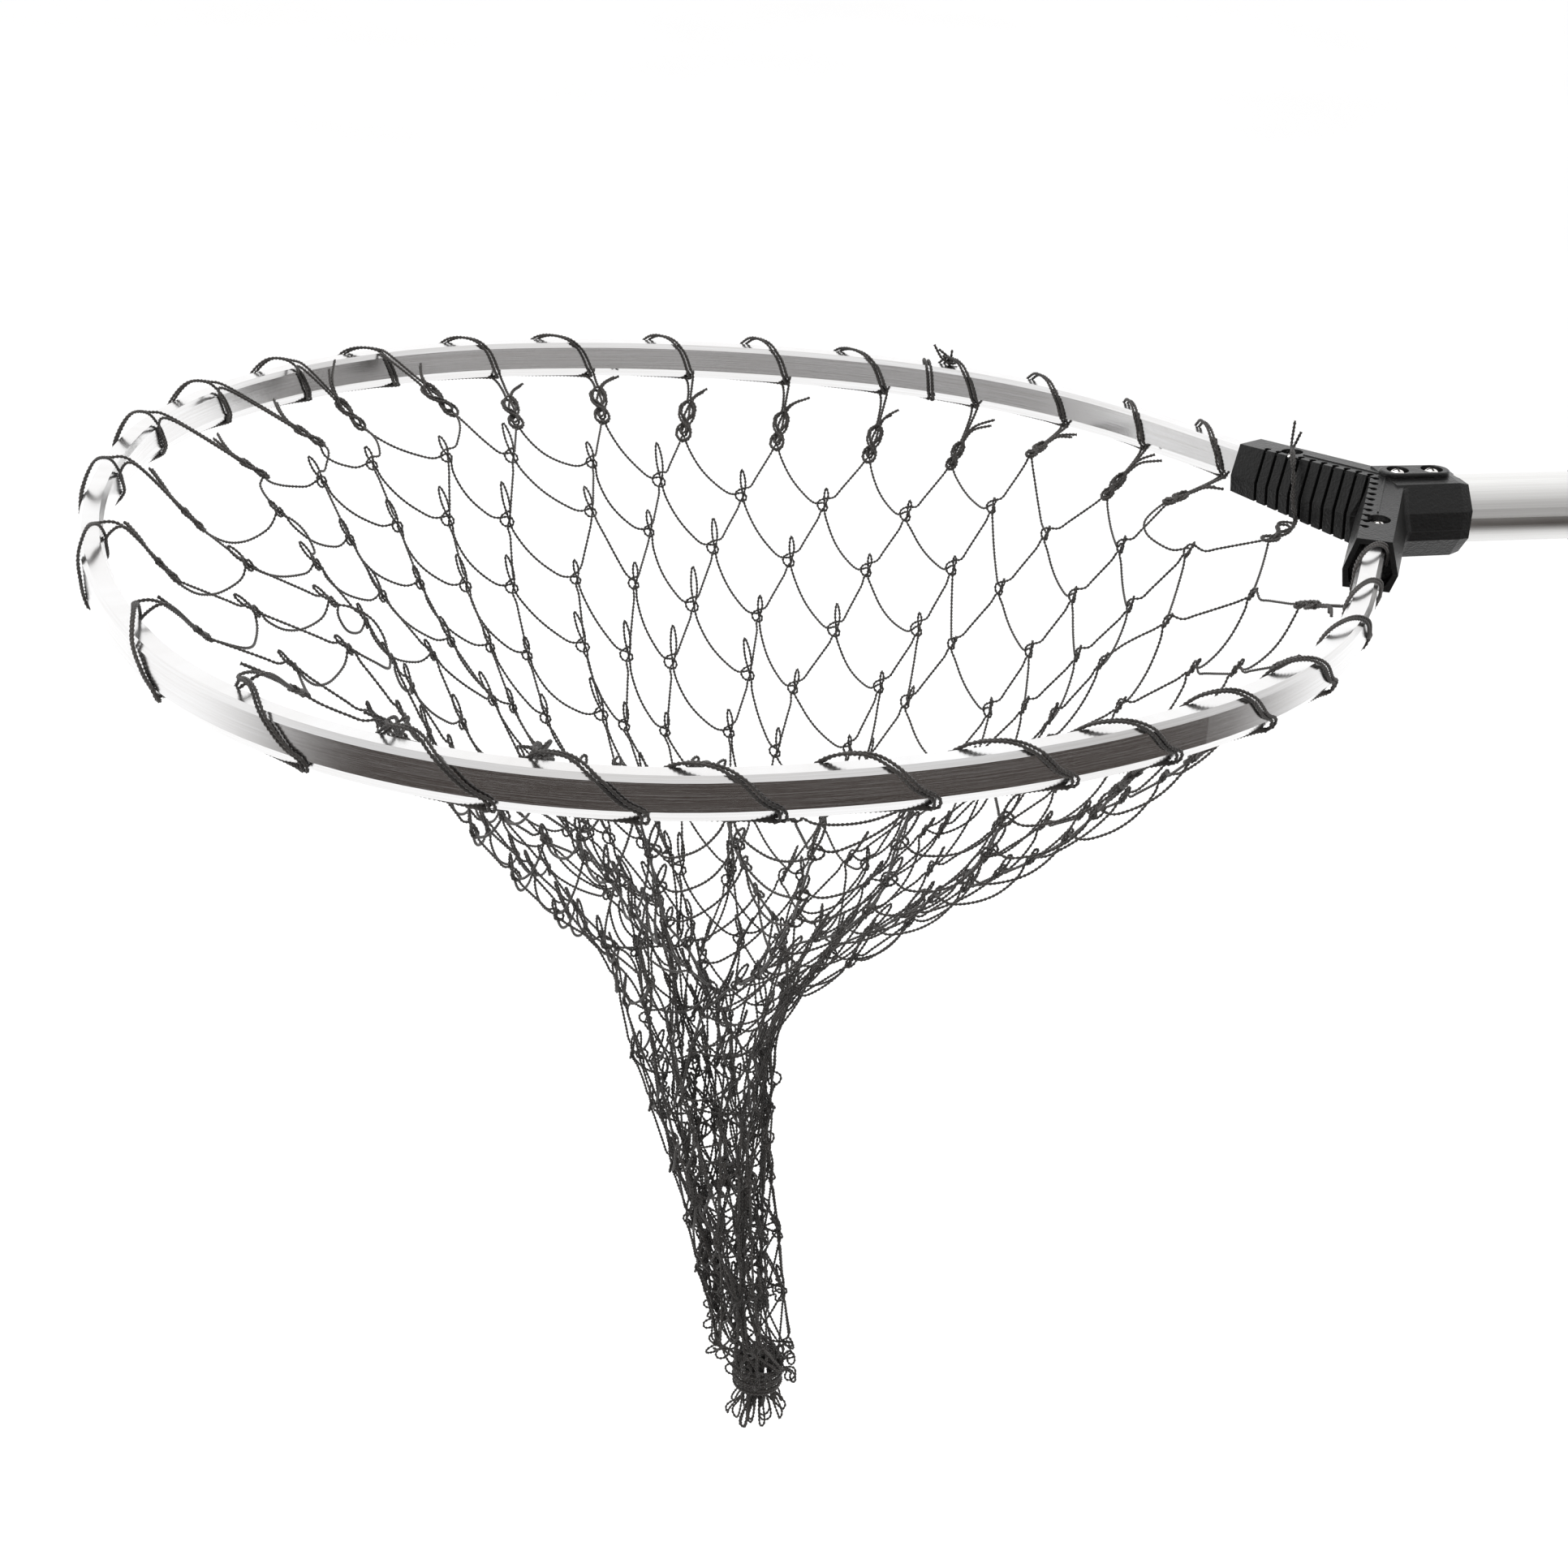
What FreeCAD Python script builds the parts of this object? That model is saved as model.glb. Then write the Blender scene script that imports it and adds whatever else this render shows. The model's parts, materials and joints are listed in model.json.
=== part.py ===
"""Landing net: a bent aluminium hoop screwed into a two-part moulded yoke, a knotted bag laced
round the hoop, and a telescopic handle whose grooved front tube slides in a gripped rear tube
and is held by a twist lock.

Frame: millimetres, +Z up. The origin is the centre of the grip, on the handle's axis. +X runs from
the hoop along the handle towards the end cap, and the hoop lies level. The object is mirrored
about the XZ plane, apart from the slightly clocked grooves of the front tube and the bag's hang.
"""
import FreeCAD
import Part
import math
import os

Vec = FreeCAD.Vector
X_AXIS = Vec(1, 0, 0)
Y_AXIS = Vec(0, 1, 0)
Z_AXIS = Vec(0, 0, 1)

# ---- hoop -------------------------------------------------------------------------------------
APEX_X = -416.7             # where the two straight arms of the hoop would meet on the axis
ARM_TURN = 118.0            # direction of an arm, from +X
ARM_STRAIGHT = 132.7        # straight stretch of an arm, measured from the apex
SHOULDER_R = 230.0
SHOULDER_TURN = 36.3
SIDE_R = 350.0
SIDE_TURN = 28.0
CORNER_R = 195.0
CORNER_TURN = 71.0          # what is left of the half turn is the front arc
HOOP_START = 22.0           # the tube's end inside the yoke, from the apex
HOOP_WIDE = 9.4
HOOP_TOP = 8.0              # height of the flat top above the axis
HOOP_BOTTOM = -8.2
HOOP_TOP_CHAMFER = (1.5, 2.0)       # across, down
HOOP_LOW_CHAMFER = (2.9, 4.2)
HOOP_WALL = 1.2
INSERT_LONG = 42.0

# ---- yoke -------------------------------------------------------------------------------------
PARTING_Z = -3.0
ARM_LONG = 74.0             # from the apex to the mouth
ARM_TOP_HALF = 7.0          # half width of an arm's top face
ARM_MID_HALF = 11.0         # half width at the parting line
ARM_LOW_HALF = 8.5          # rear half width at the underside
ARM_TOP_Z = (15.2, 10.4)    # top face height at the apex and at the mouth
ARM_LOW_Z = (-15.6, -10.4)
MOUTH_DEPTH = 7.0
MOUTH_RIM = 2.2
BOSS_FRONT_X = APEX_X - 2.0
BOSS_REAR_X = APEX_X + 31.2
BOSS_BAND = 4.5             # length of the rear band, which is drawn in a little
BOSS_BAND_IN = 1.1
BOSS_TOP_HALF = 12.3
BOSS_MID_HALF = 19.4
BOSS_TOP_Z = 15.2
BOSS_WAIST_Z = (4.8, -7.0)  # the upright part of the boss's side
BOSS_LOW_Z = -16.4
FLANK_R = 9.0               # hollow corner between an arm and the boss
FLANK_AT = 18.0             # its distance along the arm
PAD_LONG = 31.0
PAD_WIDE = 12.0
PAD_TOP_Z = 17.6
PAD_X = APEX_X + 11.5
GROOVES = 10
GROOVE_FIRST = 5.0
GROOVE_PITCH = 6.1
GROOVE_WIDE = 1.5
GROOVE_DEEP = 2.0
SCALLOP_R = 1.5
SCALLOP_DEEP = 1.4
RIDGE_INSET = 5.6           # from the ring-side edge of the top face
RIDGE_WIDE = 0.7
RIDGE_HIGH = 0.45
RIDGE_SPAN = (2.0, 44.0)

# ---- screws and nuts --------------------------------------------------------------------------
SCREW_R = 2.0
SCREW_HEAD_R = 3.8
SCREW_HEAD_HIGH = 2.4
CROSS_WIDE = 0.9
CROSS_LONG = 4.2
CROSS_DEEP = 1.5
RECESS_R = 4.7
BOSS_SCREW_X = (APEX_X + 3.8, APEX_X + 19.2)
BOSS_RECESS_DEEP = 2.2
ARM_SCREW_AT = 51.0
ARM_RECESS_Z = 8.6
NUT_ACROSS = 7.0
NUT_HIGH = 3.2
BOSS_NUT_Z = -15.2          # height of the nuts' upper faces
ARM_NUT_Z = -9.6

# ---- handle -----------------------------------------------------------------------------------
TUBE_R = 14.3
TUBE_WALL = 1.5
FRONT_TUBE_X = (APEX_X - 2.8, -2.0)
TUBE_GROOVE_WIDE = 3.8
TUBE_GROOVE_DEEP = 1.9
TUBE_GROOVE_CLOCK = 8.0     # the groove sits a little above level on the -Y side
SLIDE_GAP = 0.3
REAR_R = 16.0
REAR_WALL = 1.4
REAR_TUBE_X = (-307.5, 92.5)
BUSH_LONG = 22.0            # the part inside the front tube
BUSH_FLANGE = 6.0
BUSH_BORE_R = 6.0
BUSH_RIVET_DEEP = 7.0       # height above the axis where a bush rivet ends
PLUG_SETBACK = 26.5         # from the front tube's end, clear of the boss screws
PLUG_LONG = 18.0
BASE_R = 18.5
BASE_X = (-315.5, -274.0)
KEY_WIDE = 3.0
COLLET_X = (-319.2, -316.0)
COLLET_SPLIT = 2.5
LOCK_R = 21.6
LOCK_X = (-324.0, -286.0)
LOCK_LIP = 4.4
LOCK_CHAMFER = 1.4
LOCK_GROOVES = 18
LOCK_GROOVE_R = 1.5
LOCK_GROOVE_INSET = 5.0     # from each end of the collar
GRIP_R = 18.5
GRIP_X = (-87.5, 87.5)
GRIP_EDGE = 2.5
CAP_X = (88.0, 112.0)
CAP_PLUG_LONG = 26.0
CAP_RIM = 11.0              # length of the cap's full round rim
TAB_THICK = 14.0
TAB_ROUND = 12.5            # how far the tab's rounded corners reach along it
LANYARD_R = 3.5
LANYARD_X = 103.5
RIVET_R = 2.0
RIVET_HEAD_R = 3.6
RIVET_HEAD_HIGH = 0.8

# ---- net --------------------------------------------------------------------------------------
LOOP_GAP = 47.0             # spacing of the lacing along the hoop near the yoke
LOOP_GAP_FRONT = 40.0       # how much wider it gets round the front
LOOP_FRONT_SPREAD = 0.11
LOOP_WIDE = 2.4
LOOP_THICK = 1.2
LOOP_DROP = 26.0
NET_WALL = 1.6
NET_CORNERS = 36
# level, share of the hoop's plan, centre of the section, and radius of the round bunch it blends to
NET_LEVELS = (
    (-24.0, 0.93, -668.0, 0.0),
    (-60.0, 0.72, -672.0, 10.0),
    (-100.0, 0.43, -682.0, 18.0),
    (-140.0, 0.20, -690.0, 24.0),
    (-185.0, 0.06, -694.0, 32.0),
    (-235.0, 0.0, -701.0, 36.0),
    (-285.0, 0.0, -693.0, 33.0),
    (-325.0, 0.0, -676.0, 30.0),
    (-390.0, 0.0, -668.0, 26.0),
)
COLUMN_LEVEL = 4            # the level where the open funnel ends and the limp column starts
PLAN_X = -668.0             # the axis that the bag's plan is taken round
TIE_X = -667.0
NET_END_Z = -434.0
TAIL_R = 16.5
TIE_Z = (-413.9, -402.1)
TIE_R = 11.5

CLEAR = 0.1                 # gap between pieces that are clamped together
PRESS = 0.02                # gap between pieces that are pressed or glued together
REACH_Z = 30.0              # further than the yoke from the axis, for cutters right through it
REACH_X = 100.0             # further than the yoke from the apex


def arm_direction(side):
    turn = math.radians(ARM_TURN)
    return Vec(math.cos(turn), side * math.sin(turn), 0)


def arm_across(side):
    """Unit vector across an arm, away from the ring."""
    along = arm_direction(side)
    return Vec(side * along.y, -side * along.x, 0)


def arm_point(side, along, across, z):
    return Vec(APEX_X, 0, z) + arm_direction(side) * along + arm_across(side) * across


def hoop_arcs():
    """Radius and turn of each arc of a half hoop; the front arc closes it square to the axis."""
    turns = SHOULDER_TURN + SIDE_TURN + CORNER_TURN
    return [(SHOULDER_R, SHOULDER_TURN), (SIDE_R, SIDE_TURN), (CORNER_R, CORNER_TURN),
            (None, 270.0 - ARM_TURN - turns)]


def half_hoop():
    """Arcs as (centre, radius, start heading, turn) in degrees, from the straight arm to the front."""
    arcs = []
    place = arm_point(1, ARM_STRAIGHT, 0, 0)
    heading = ARM_TURN
    for radius, turn in hoop_arcs():
        angle = math.radians(heading)
        if radius is None:
            radius = -place.y / math.cos(angle)
        centre = place + Vec(-math.sin(angle), math.cos(angle), 0) * radius
        arcs.append((centre, radius, heading, turn))
        heading += turn
        angle = math.radians(heading)
        place = centre + Vec(math.sin(angle), -math.cos(angle), 0) * radius
    return arcs


def hoop_point(distance):
    """Point and tangent of the half hoop at a distance from the apex."""
    if distance <= ARM_STRAIGHT:
        return arm_point(1, distance, 0, 0), arm_direction(1)
    left = distance - ARM_STRAIGHT
    for centre, radius, heading, turn in half_hoop():
        length = radius * math.radians(turn)
        if left <= length:
            break
        left -= length
    angle = math.radians(heading) + min(left, length) / radius
    point = centre + Vec(math.sin(angle), -math.cos(angle), 0) * radius
    return point, Vec(math.cos(angle), math.sin(angle), 0)


def half_length():
    return ARM_STRAIGHT + sum(radius * math.radians(turn) for _, radius, _, turn in half_hoop())


def full_hoop_point(distance):
    """Point and tangent at a distance from the apex right round the hoop."""
    half = half_length()
    if distance <= half:
        return hoop_point(distance)
    point, tangent = hoop_point(2 * half - distance)
    return Vec(point.x, -point.y, 0), Vec(-tangent.x, tangent.y, 0)


def hoop_section(grow):
    """Outline of the hoop's tube as (across, height), enlarged all round by grow."""
    half = HOOP_WIDE / 2 + grow
    top = HOOP_TOP + grow
    low = HOOP_BOTTOM - grow
    right = [(half - HOOP_TOP_CHAMFER[0], top), (half, top - HOOP_TOP_CHAMFER[1]),
             (half, low + HOOP_LOW_CHAMFER[1]), (half - HOOP_LOW_CHAMFER[0], low)]
    return right + [(-across, z) for across, z in reversed(right)]


def polygon(points):
    return Part.makePolygon(points + [points[0]])


def ring_prism(section, start, stop):
    """A section carried along the straight arm of side +Y between two distances."""
    first = polygon([arm_point(1, start, across, z) for across, z in section])
    return Part.Face(first).extrude(arm_direction(1) * (stop - start))


def ring_sweep(section, start):
    """A section carried round the half hoop, from a distance on the arm to the front."""
    solid = ring_prism(section, start, ARM_STRAIGHT)
    place = arm_point(1, ARM_STRAIGHT, 0, 0)
    for centre, radius, heading, turn in half_hoop():
        angle = math.radians(heading)
        outward = Vec(math.sin(angle), -math.cos(angle), 0)
        face = Part.Face(polygon([place + outward * across + Z_AXIS * z for across, z in section]))
        solid = solid.fuse(face.revolve(centre, Z_AXIS, turn))
        angle = math.radians(heading + turn)
        place = centre + Vec(math.sin(angle), -math.cos(angle), 0) * radius
    return solid


def mirrored(shape):
    return shape.mirror(Vec(0, 0, 0), Y_AXIS)


def both_sides(shape):
    return shape.fuse(mirrored(shape)).removeSplitter()


def group(shapes):
    return Part.makeCompound(shapes)


def tube_x(radius, start, stop):
    return Part.makeCylinder(radius, stop - start, Vec(start, 0, 0), X_AXIS)


def pipe_x(outer, inner, start, stop):
    return tube_x(outer, start, stop).cut(tube_x(inner, start - 1, stop + 1))


def pin_z(radius, x, y, low, high):
    return Part.makeCylinder(radius, high - low, Vec(x, y, low), Z_AXIS)


def hexagon_z(across_flats, x, y, low, high):
    radius = across_flats / math.sqrt(3)
    corners = []
    for k in range(6):
        angle = math.radians(60 * k)
        corners.append(Vec(x + radius * math.cos(angle), y + radius * math.sin(angle), low))
    return Part.Face(polygon(corners)).extrude(Z_AXIS * (high - low))


# ---- hoop pieces --------------------------------------------------------------------------------
def hoop_tube():
    outer = ring_sweep(hoop_section(0), HOOP_START)
    inner = ring_sweep(hoop_section(-HOOP_WALL), HOOP_START - 1)
    solid = both_sides(outer.cut(inner))
    for side in (1, -1):
        at = arm_point(side, ARM_SCREW_AT, 0, 0)
        solid = solid.cut(pin_z(SCREW_R + CLEAR, at.x, at.y, HOOP_BOTTOM - 1, HOOP_TOP + 1))
    return solid


def hoop_end_inserts():
    pieces = []
    insert = ring_prism(hoop_section(-HOOP_WALL - CLEAR), HOOP_START, HOOP_START + INSERT_LONG)
    at = arm_point(1, ARM_SCREW_AT, 0, 0)
    insert = insert.cut(pin_z(SCREW_R + CLEAR, at.x, at.y, HOOP_BOTTOM, HOOP_TOP))
    pieces.append(insert)
    pieces.append(mirrored(insert))
    return group(pieces)


# ---- yoke ---------------------------------------------------------------------------------------
def arm_section(along):
    """Section of an arm as (across, height); the ring side leans out to the parting line."""
    share = max(along, 0.0) / ARM_LONG
    top = ARM_TOP_Z[0] + (ARM_TOP_Z[1] - ARM_TOP_Z[0]) * share
    low = ARM_LOW_Z[0] + (ARM_LOW_Z[1] - ARM_LOW_Z[0]) * share
    return [(-ARM_TOP_HALF, top), (ARM_TOP_HALF, top), (ARM_MID_HALF, PARTING_Z),
            (ARM_LOW_HALF, low), (-ARM_MID_HALF + 1.0, low), (-ARM_MID_HALF, PARTING_Z)]


def loft(wires):
    return Part.makeLoft(wires, True, True)


def plus_y_space():
    """The space on the +Y side of the yoke."""
    return Part.makeBox(2 * REACH_X, REACH_X, 2 * REACH_Z, Vec(APEX_X - REACH_X, 0, -REACH_Z))


def yoke_arm():
    wires = []
    for along in (-6.0, 0.0, ARM_LONG):
        wires.append(polygon([arm_point(1, along, across, z) for across, z in arm_section(along)]))
    arm = loft(wires)
    return arm.common(plus_y_space())


def boss_section(x, drawn_in):
    """Octagon of the boss, drawn in all round by a little at its rear."""
    top_half = BOSS_TOP_HALF - drawn_in
    mid_half = BOSS_MID_HALF - drawn_in
    drop = max(drawn_in, 0.0)
    right = [Vec(x, top_half, BOSS_TOP_Z - drop), Vec(x, mid_half, BOSS_WAIST_Z[0]),
             Vec(x, mid_half, BOSS_WAIST_Z[1]), Vec(x, top_half, BOSS_LOW_Z + drop)]
    return polygon(right + [Vec(p.x, -p.y, p.z) for p in reversed(right)])


def yoke_boss():
    band_x = BOSS_REAR_X - BOSS_BAND
    body = loft([boss_section(BOSS_FRONT_X, -0.8), boss_section(band_x, 0.0)])
    band = loft([boss_section(band_x, 0.0), boss_section(BOSS_REAR_X, BOSS_BAND_IN)])
    return body.fuse(band).removeSplitter()


def side_half(levels, z):
    """Half width at height z of a side given as (height, half width) from the top down."""
    for (z_high, half_high), (z_low, half_low) in zip(levels, levels[1:]):
        if z >= z_low:
            share = (z_high - z) / (z_high - z_low)
            return half_high + (half_low - half_high) * share
    return levels[-1][1]


def flank_web(side_gap):
    """Solid that rounds the hollow corner between an arm's rear side and the boss."""
    arm_side = [(z, across) for across, z in arm_section(FLANK_AT)[1:4]]
    boss_side = [(BOSS_TOP_Z, BOSS_TOP_HALF), (BOSS_WAIST_Z[0], BOSS_MID_HALF),
                 (BOSS_WAIST_Z[1], BOSS_MID_HALF), (BOSS_LOW_Z, BOSS_TOP_HALF)]
    half_angle = math.radians(ARM_TURN / 2)
    bisector = Vec(math.cos(half_angle), math.sin(half_angle), 0)
    wires = []
    for z in (arm_side[0][0], BOSS_WAIST_Z[0], PARTING_Z, BOSS_WAIST_Z[1], arm_side[2][0]):
        arm_half = side_half(arm_side, z) - side_gap
        boss_half = side_half(boss_side, z) - side_gap
        along = (boss_half - arm_half * arm_across(1).y) / arm_direction(1).y
        corner = arm_point(1, along, arm_half, z)
        reach = FLANK_R / math.tan(half_angle)
        first = corner + arm_direction(1) * reach
        last = corner + X_AXIS * reach
        middle = corner + bisector * (FLANK_R / math.sin(half_angle) - FLANK_R)
        inside = corner - bisector * 3.0
        wires.append(Part.Wire([
            Part.LineSegment(inside, first).toShape(),
            Part.Arc(first, middle, last).toShape(),
            Part.LineSegment(last, inside).toShape(),
        ]))
    return loft(wires)


def raised_pad():
    half = PAD_WIDE / 2
    reach = PAD_LONG / 2 - half
    low = BOSS_TOP_Z - 2
    pad = Part.makeBox(2 * reach, PAD_WIDE, PAD_TOP_Z - low, Vec(PAD_X - reach, -half, low))
    for x in (PAD_X - reach, PAD_X + reach):
        pad = pad.fuse(pin_z(half, x, 0, low, PAD_TOP_Z))
    pad = pad.removeSplitter()
    rim = [edge for edge in pad.Edges if edge.BoundBox.ZMin > PAD_TOP_Z - 0.01]
    return pad.makeFillet(1.0, rim)


def ridge_bead():
    """Fine bead on the top face, behind the ends of the grooves."""
    across = -ARM_TOP_HALF + RIDGE_INSET
    start, stop = RIDGE_SPAN
    profile = []
    for along in (start, stop):
        top = arm_section(along)[0][1]
        profile.append(polygon([
            arm_point(1, along, across, top - 1.0),
            arm_point(1, along, across + RIDGE_WIDE, top - 1.0),
            arm_point(1, along, across + RIDGE_WIDE, top + RIDGE_HIGH),
            arm_point(1, along, across, top + RIDGE_HIGH),
        ]))
    bead = loft(profile)
    return bead.common(plus_y_space())


def groove_cutter(along):
    """One groove down the ring side of an arm, with the scallop at its upper end."""
    top = arm_section(along)[0][1]
    low = arm_section(along)[3][1]
    outline = [(-ARM_TOP_HALF + GROOVE_DEEP, top + 1), (-ARM_MID_HALF + GROOVE_DEEP, PARTING_Z),
               (-ARM_MID_HALF + GROOVE_DEEP + 0.6, low - 1), (-2 * ARM_MID_HALF, low - 1),
               (-2 * ARM_MID_HALF, top + 1)]
    start = along - GROOVE_WIDE / 2
    face = Part.Face(polygon([arm_point(1, start, across, z) for across, z in outline]))
    slot = face.extrude(arm_direction(1) * GROOVE_WIDE)
    at = arm_point(1, along + 0.6, -ARM_TOP_HALF + GROOVE_DEEP + 0.3, 0)
    return slot.fuse(pin_z(SCALLOP_R, at.x, at.y, top - SCALLOP_DEEP, top + 1))


def yoke_body():
    arm = yoke_arm()
    web = flank_web(0.05)
    solid = arm.fuse([mirrored(arm), yoke_boss(), web, mirrored(web)]).removeSplitter()
    bead = ridge_bead()
    solid = solid.fuse([raised_pad(), bead, mirrored(bead)])
    cutters = []
    for k in range(GROOVES):
        cutter = groove_cutter(GROOVE_FIRST + k * GROOVE_PITCH)
        cutters += [cutter, mirrored(cutter)]
    return solid.cut(cutters)


def mouth_cutter():
    """Pocket at the end of an arm, a rim's width inside its outline."""
    wires = []
    for along in (ARM_LONG - MOUTH_DEPTH, ARM_LONG + 1):
        top = arm_section(along)[0][1] - MOUTH_RIM
        low = arm_section(along)[3][1] + MOUTH_RIM
        outline = [(-ARM_TOP_HALF + MOUTH_RIM * 0.7, top), (ARM_TOP_HALF - MOUTH_RIM * 0.7, top),
                   (ARM_MID_HALF - MOUTH_RIM, PARTING_Z), (ARM_LOW_HALF - MOUTH_RIM, low),
                   (-ARM_MID_HALF + 1.0 + MOUTH_RIM, low), (-ARM_MID_HALF + MOUTH_RIM, PARTING_Z)]
        wires.append(polygon([arm_point(1, along, across, z) for across, z in outline]))
    return loft(wires)


def yoke_cavity():
    """What the yoke leaves free: both tubes, the screws with their recesses, and the nuts."""
    channel = ring_prism(hoop_section(CLEAR), HOOP_START - CLEAR, ARM_LONG + 1)
    mouth = mouth_cutter()
    cutters = [channel, mirrored(channel), mouth, mirrored(mouth)]
    cutters.append(tube_x(TUBE_R + CLEAR, FRONT_TUBE_X[0] - CLEAR, BOSS_REAR_X + 5))
    skirt = 2 * (TUBE_R + CLEAR)
    cutters.append(Part.makeBox(BOSS_REAR_X + 5 - FRONT_TUBE_X[0], skirt, -PARTING_Z,
                                Vec(FRONT_TUBE_X[0], -skirt / 2, PARTING_Z)))
    for x in BOSS_SCREW_X:
        cutters.append(pin_z(SCREW_R + CLEAR, x, 0, -REACH_Z, REACH_Z))
        cutters.append(pin_z(RECESS_R, x, 0, PAD_TOP_Z - BOSS_RECESS_DEEP, REACH_Z))
        cutters.append(hexagon_z(NUT_ACROSS + 2 * CLEAR, x, 0, -REACH_Z, BOSS_NUT_Z))
    for side in (1, -1):
        at = arm_point(side, ARM_SCREW_AT, 0, 0)
        cutters.append(pin_z(SCREW_R + CLEAR, at.x, at.y, -REACH_Z, REACH_Z))
        cutters.append(pin_z(RECESS_R, at.x, at.y, ARM_RECESS_Z, REACH_Z))
        cutters.append(hexagon_z(NUT_ACROSS + 2 * CLEAR, at.x, at.y, -REACH_Z, ARM_NUT_Z))
    return cutters


def yoke_shells():
    body = yoke_body().cut(yoke_cavity())
    halves = []
    for low in (PARTING_Z, PARTING_Z - 2 * REACH_Z):
        corner = Vec(APEX_X - REACH_X, -REACH_X, low)
        halves.append(body.common(Part.makeBox(2 * REACH_X, 2 * REACH_X, 2 * REACH_Z, corner)))
    return [max(half.Solids, key=lambda solid: solid.Volume) for half in halves]


# ---- fasteners ----------------------------------------------------------------------------------
def pan_screw(x, y, seat_z, end_z):
    """Cross-recessed pan-head screw standing on seat_z, with its shank down to end_z."""
    dome_r = (SCREW_HEAD_R ** 2 + SCREW_HEAD_HIGH ** 2) / (2 * SCREW_HEAD_HIGH)
    top_z = seat_z + SCREW_HEAD_HIGH
    dome = Part.makeSphere(dome_r, Vec(x, y, top_z - dome_r))
    head = pin_z(SCREW_HEAD_R, x, y, seat_z, top_z + 1).common(dome)
    screw = head.fuse(pin_z(SCREW_R, x, y, end_z, seat_z + 0.5))
    for long_x, long_y in ((CROSS_LONG, CROSS_WIDE), (CROSS_WIDE, CROSS_LONG)):
        corner = Vec(x - long_x / 2, y - long_y / 2, top_z - CROSS_DEEP)
        screw = screw.cut(Part.makeBox(long_x, long_y, CROSS_DEEP + 1, corner))
    return screw


def hex_nut(x, y, high_z):
    low_z = high_z - NUT_HIGH
    nut = hexagon_z(NUT_ACROSS, x, y, low_z, high_z)
    return nut.cut(pin_z(SCREW_R + PRESS, x, y, low_z - 1, high_z + 1))


def boss_screws():
    seat = PAD_TOP_Z - BOSS_RECESS_DEEP
    return group([pan_screw(x, 0, seat, BOSS_NUT_Z - NUT_HIGH) for x in BOSS_SCREW_X])


def arm_screws():
    places = [arm_point(side, ARM_SCREW_AT, 0, 0) for side in (1, -1)]
    return group([pan_screw(at.x, at.y, ARM_RECESS_Z, ARM_NUT_Z - NUT_HIGH) for at in places])


def boss_nuts():
    return group([hex_nut(x, 0, BOSS_NUT_Z) for x in BOSS_SCREW_X])


def arm_nuts():
    places = [arm_point(side, ARM_SCREW_AT, 0, 0) for side in (1, -1)]
    return group([hex_nut(at.x, at.y, ARM_NUT_Z) for at in places])


# ---- handle -------------------------------------------------------------------------------------
def side_bars(wide, radial_from, radial_to, start, stop):
    """Two bars along the handle, one in each groove, at their clocked places."""
    bars = []
    for side in (1, -1):
        low = min(side * radial_from, side * radial_to)
        box = Part.makeBox(stop - start, radial_to - radial_from, wide, Vec(start, low, -wide / 2))
        box.rotate(Vec(0, 0, 0), X_AXIS, -TUBE_GROOVE_CLOCK)
        bars.append(box)
    return bars


def front_tube():
    start, stop = FRONT_TUBE_X
    floor = TUBE_R - TUBE_GROOVE_DEEP
    outer = tube_x(TUBE_R, start, stop)
    outer = outer.cut(side_bars(TUBE_GROOVE_WIDE, floor, TUBE_R + 1, start - 1, stop + 1))
    inner = tube_x(TUBE_R - TUBE_WALL, start - 1, stop + 1)
    bump = TUBE_GROOVE_WIDE + 2 * TUBE_WALL
    inner = inner.cut(side_bars(bump, floor - TUBE_WALL, TUBE_R, start - 2, stop + 2))
    tube = outer.cut(inner)
    for x in BOSS_SCREW_X:
        tube = tube.cut(pin_z(SCREW_R + CLEAR, x, 0, -TUBE_R - 1, TUBE_R + 1))
    for x in bush_rivet_x():
        tube = tube.cut(pin_z(RIVET_R, x, 0, -TUBE_R - 1, TUBE_R + 1))
    return tube


def bush_rivet_x():
    return [FRONT_TUBE_X[1] - BUSH_LONG / 2]


def core_x(radius, start, stop):
    """A core that fits inside the grooved tube."""
    floor = TUBE_R - TUBE_GROOVE_DEEP - TUBE_WALL - CLEAR
    bump = TUBE_GROOVE_WIDE + 2 * TUBE_WALL + 2 * CLEAR
    core = tube_x(radius, start, stop)
    return core.cut(side_bars(bump, floor, TUBE_R, start - 1, stop + 1))


def front_tube_plug():
    start = FRONT_TUBE_X[0] + PLUG_SETBACK
    return core_x(TUBE_R - TUBE_WALL - CLEAR, start, start + PLUG_LONG)


def guide_bush():
    """Plug in the rear end of the front tube, whose flange runs in the rear tube."""
    stop = FRONT_TUBE_X[1]
    core = core_x(TUBE_R - TUBE_WALL - CLEAR, stop - BUSH_LONG, stop)
    flange = tube_x(REAR_R - REAR_WALL - SLIDE_GAP, stop, stop + BUSH_FLANGE)
    bush = core.fuse(flange)
    bush = bush.cut(tube_x(BUSH_BORE_R, stop - BUSH_LONG - 1, stop + BUSH_FLANGE + 1))
    for x in bush_rivet_x():
        bush = bush.cut(pin_z(RIVET_R, x, 0, -TUBE_R, TUBE_R))
    return bush


def guide_bush_rivets():
    """Short flush rivets, one above and one below, that hold the guide bush in its tube."""
    rivets = []
    for x in bush_rivet_x():
        rod = pin_z(RIVET_R - PRESS, x, 0, -TUBE_R, TUBE_R).common(tube_x(TUBE_R, x - 5, x + 5))
        rivets.append(rod.common(pin_z(RIVET_R, x, 0, BUSH_RIVET_DEEP, TUBE_R)))
        rivets.append(rod.common(pin_z(RIVET_R, x, 0, -TUBE_R, -BUSH_RIVET_DEEP)))
    return group(rivets)


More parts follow.
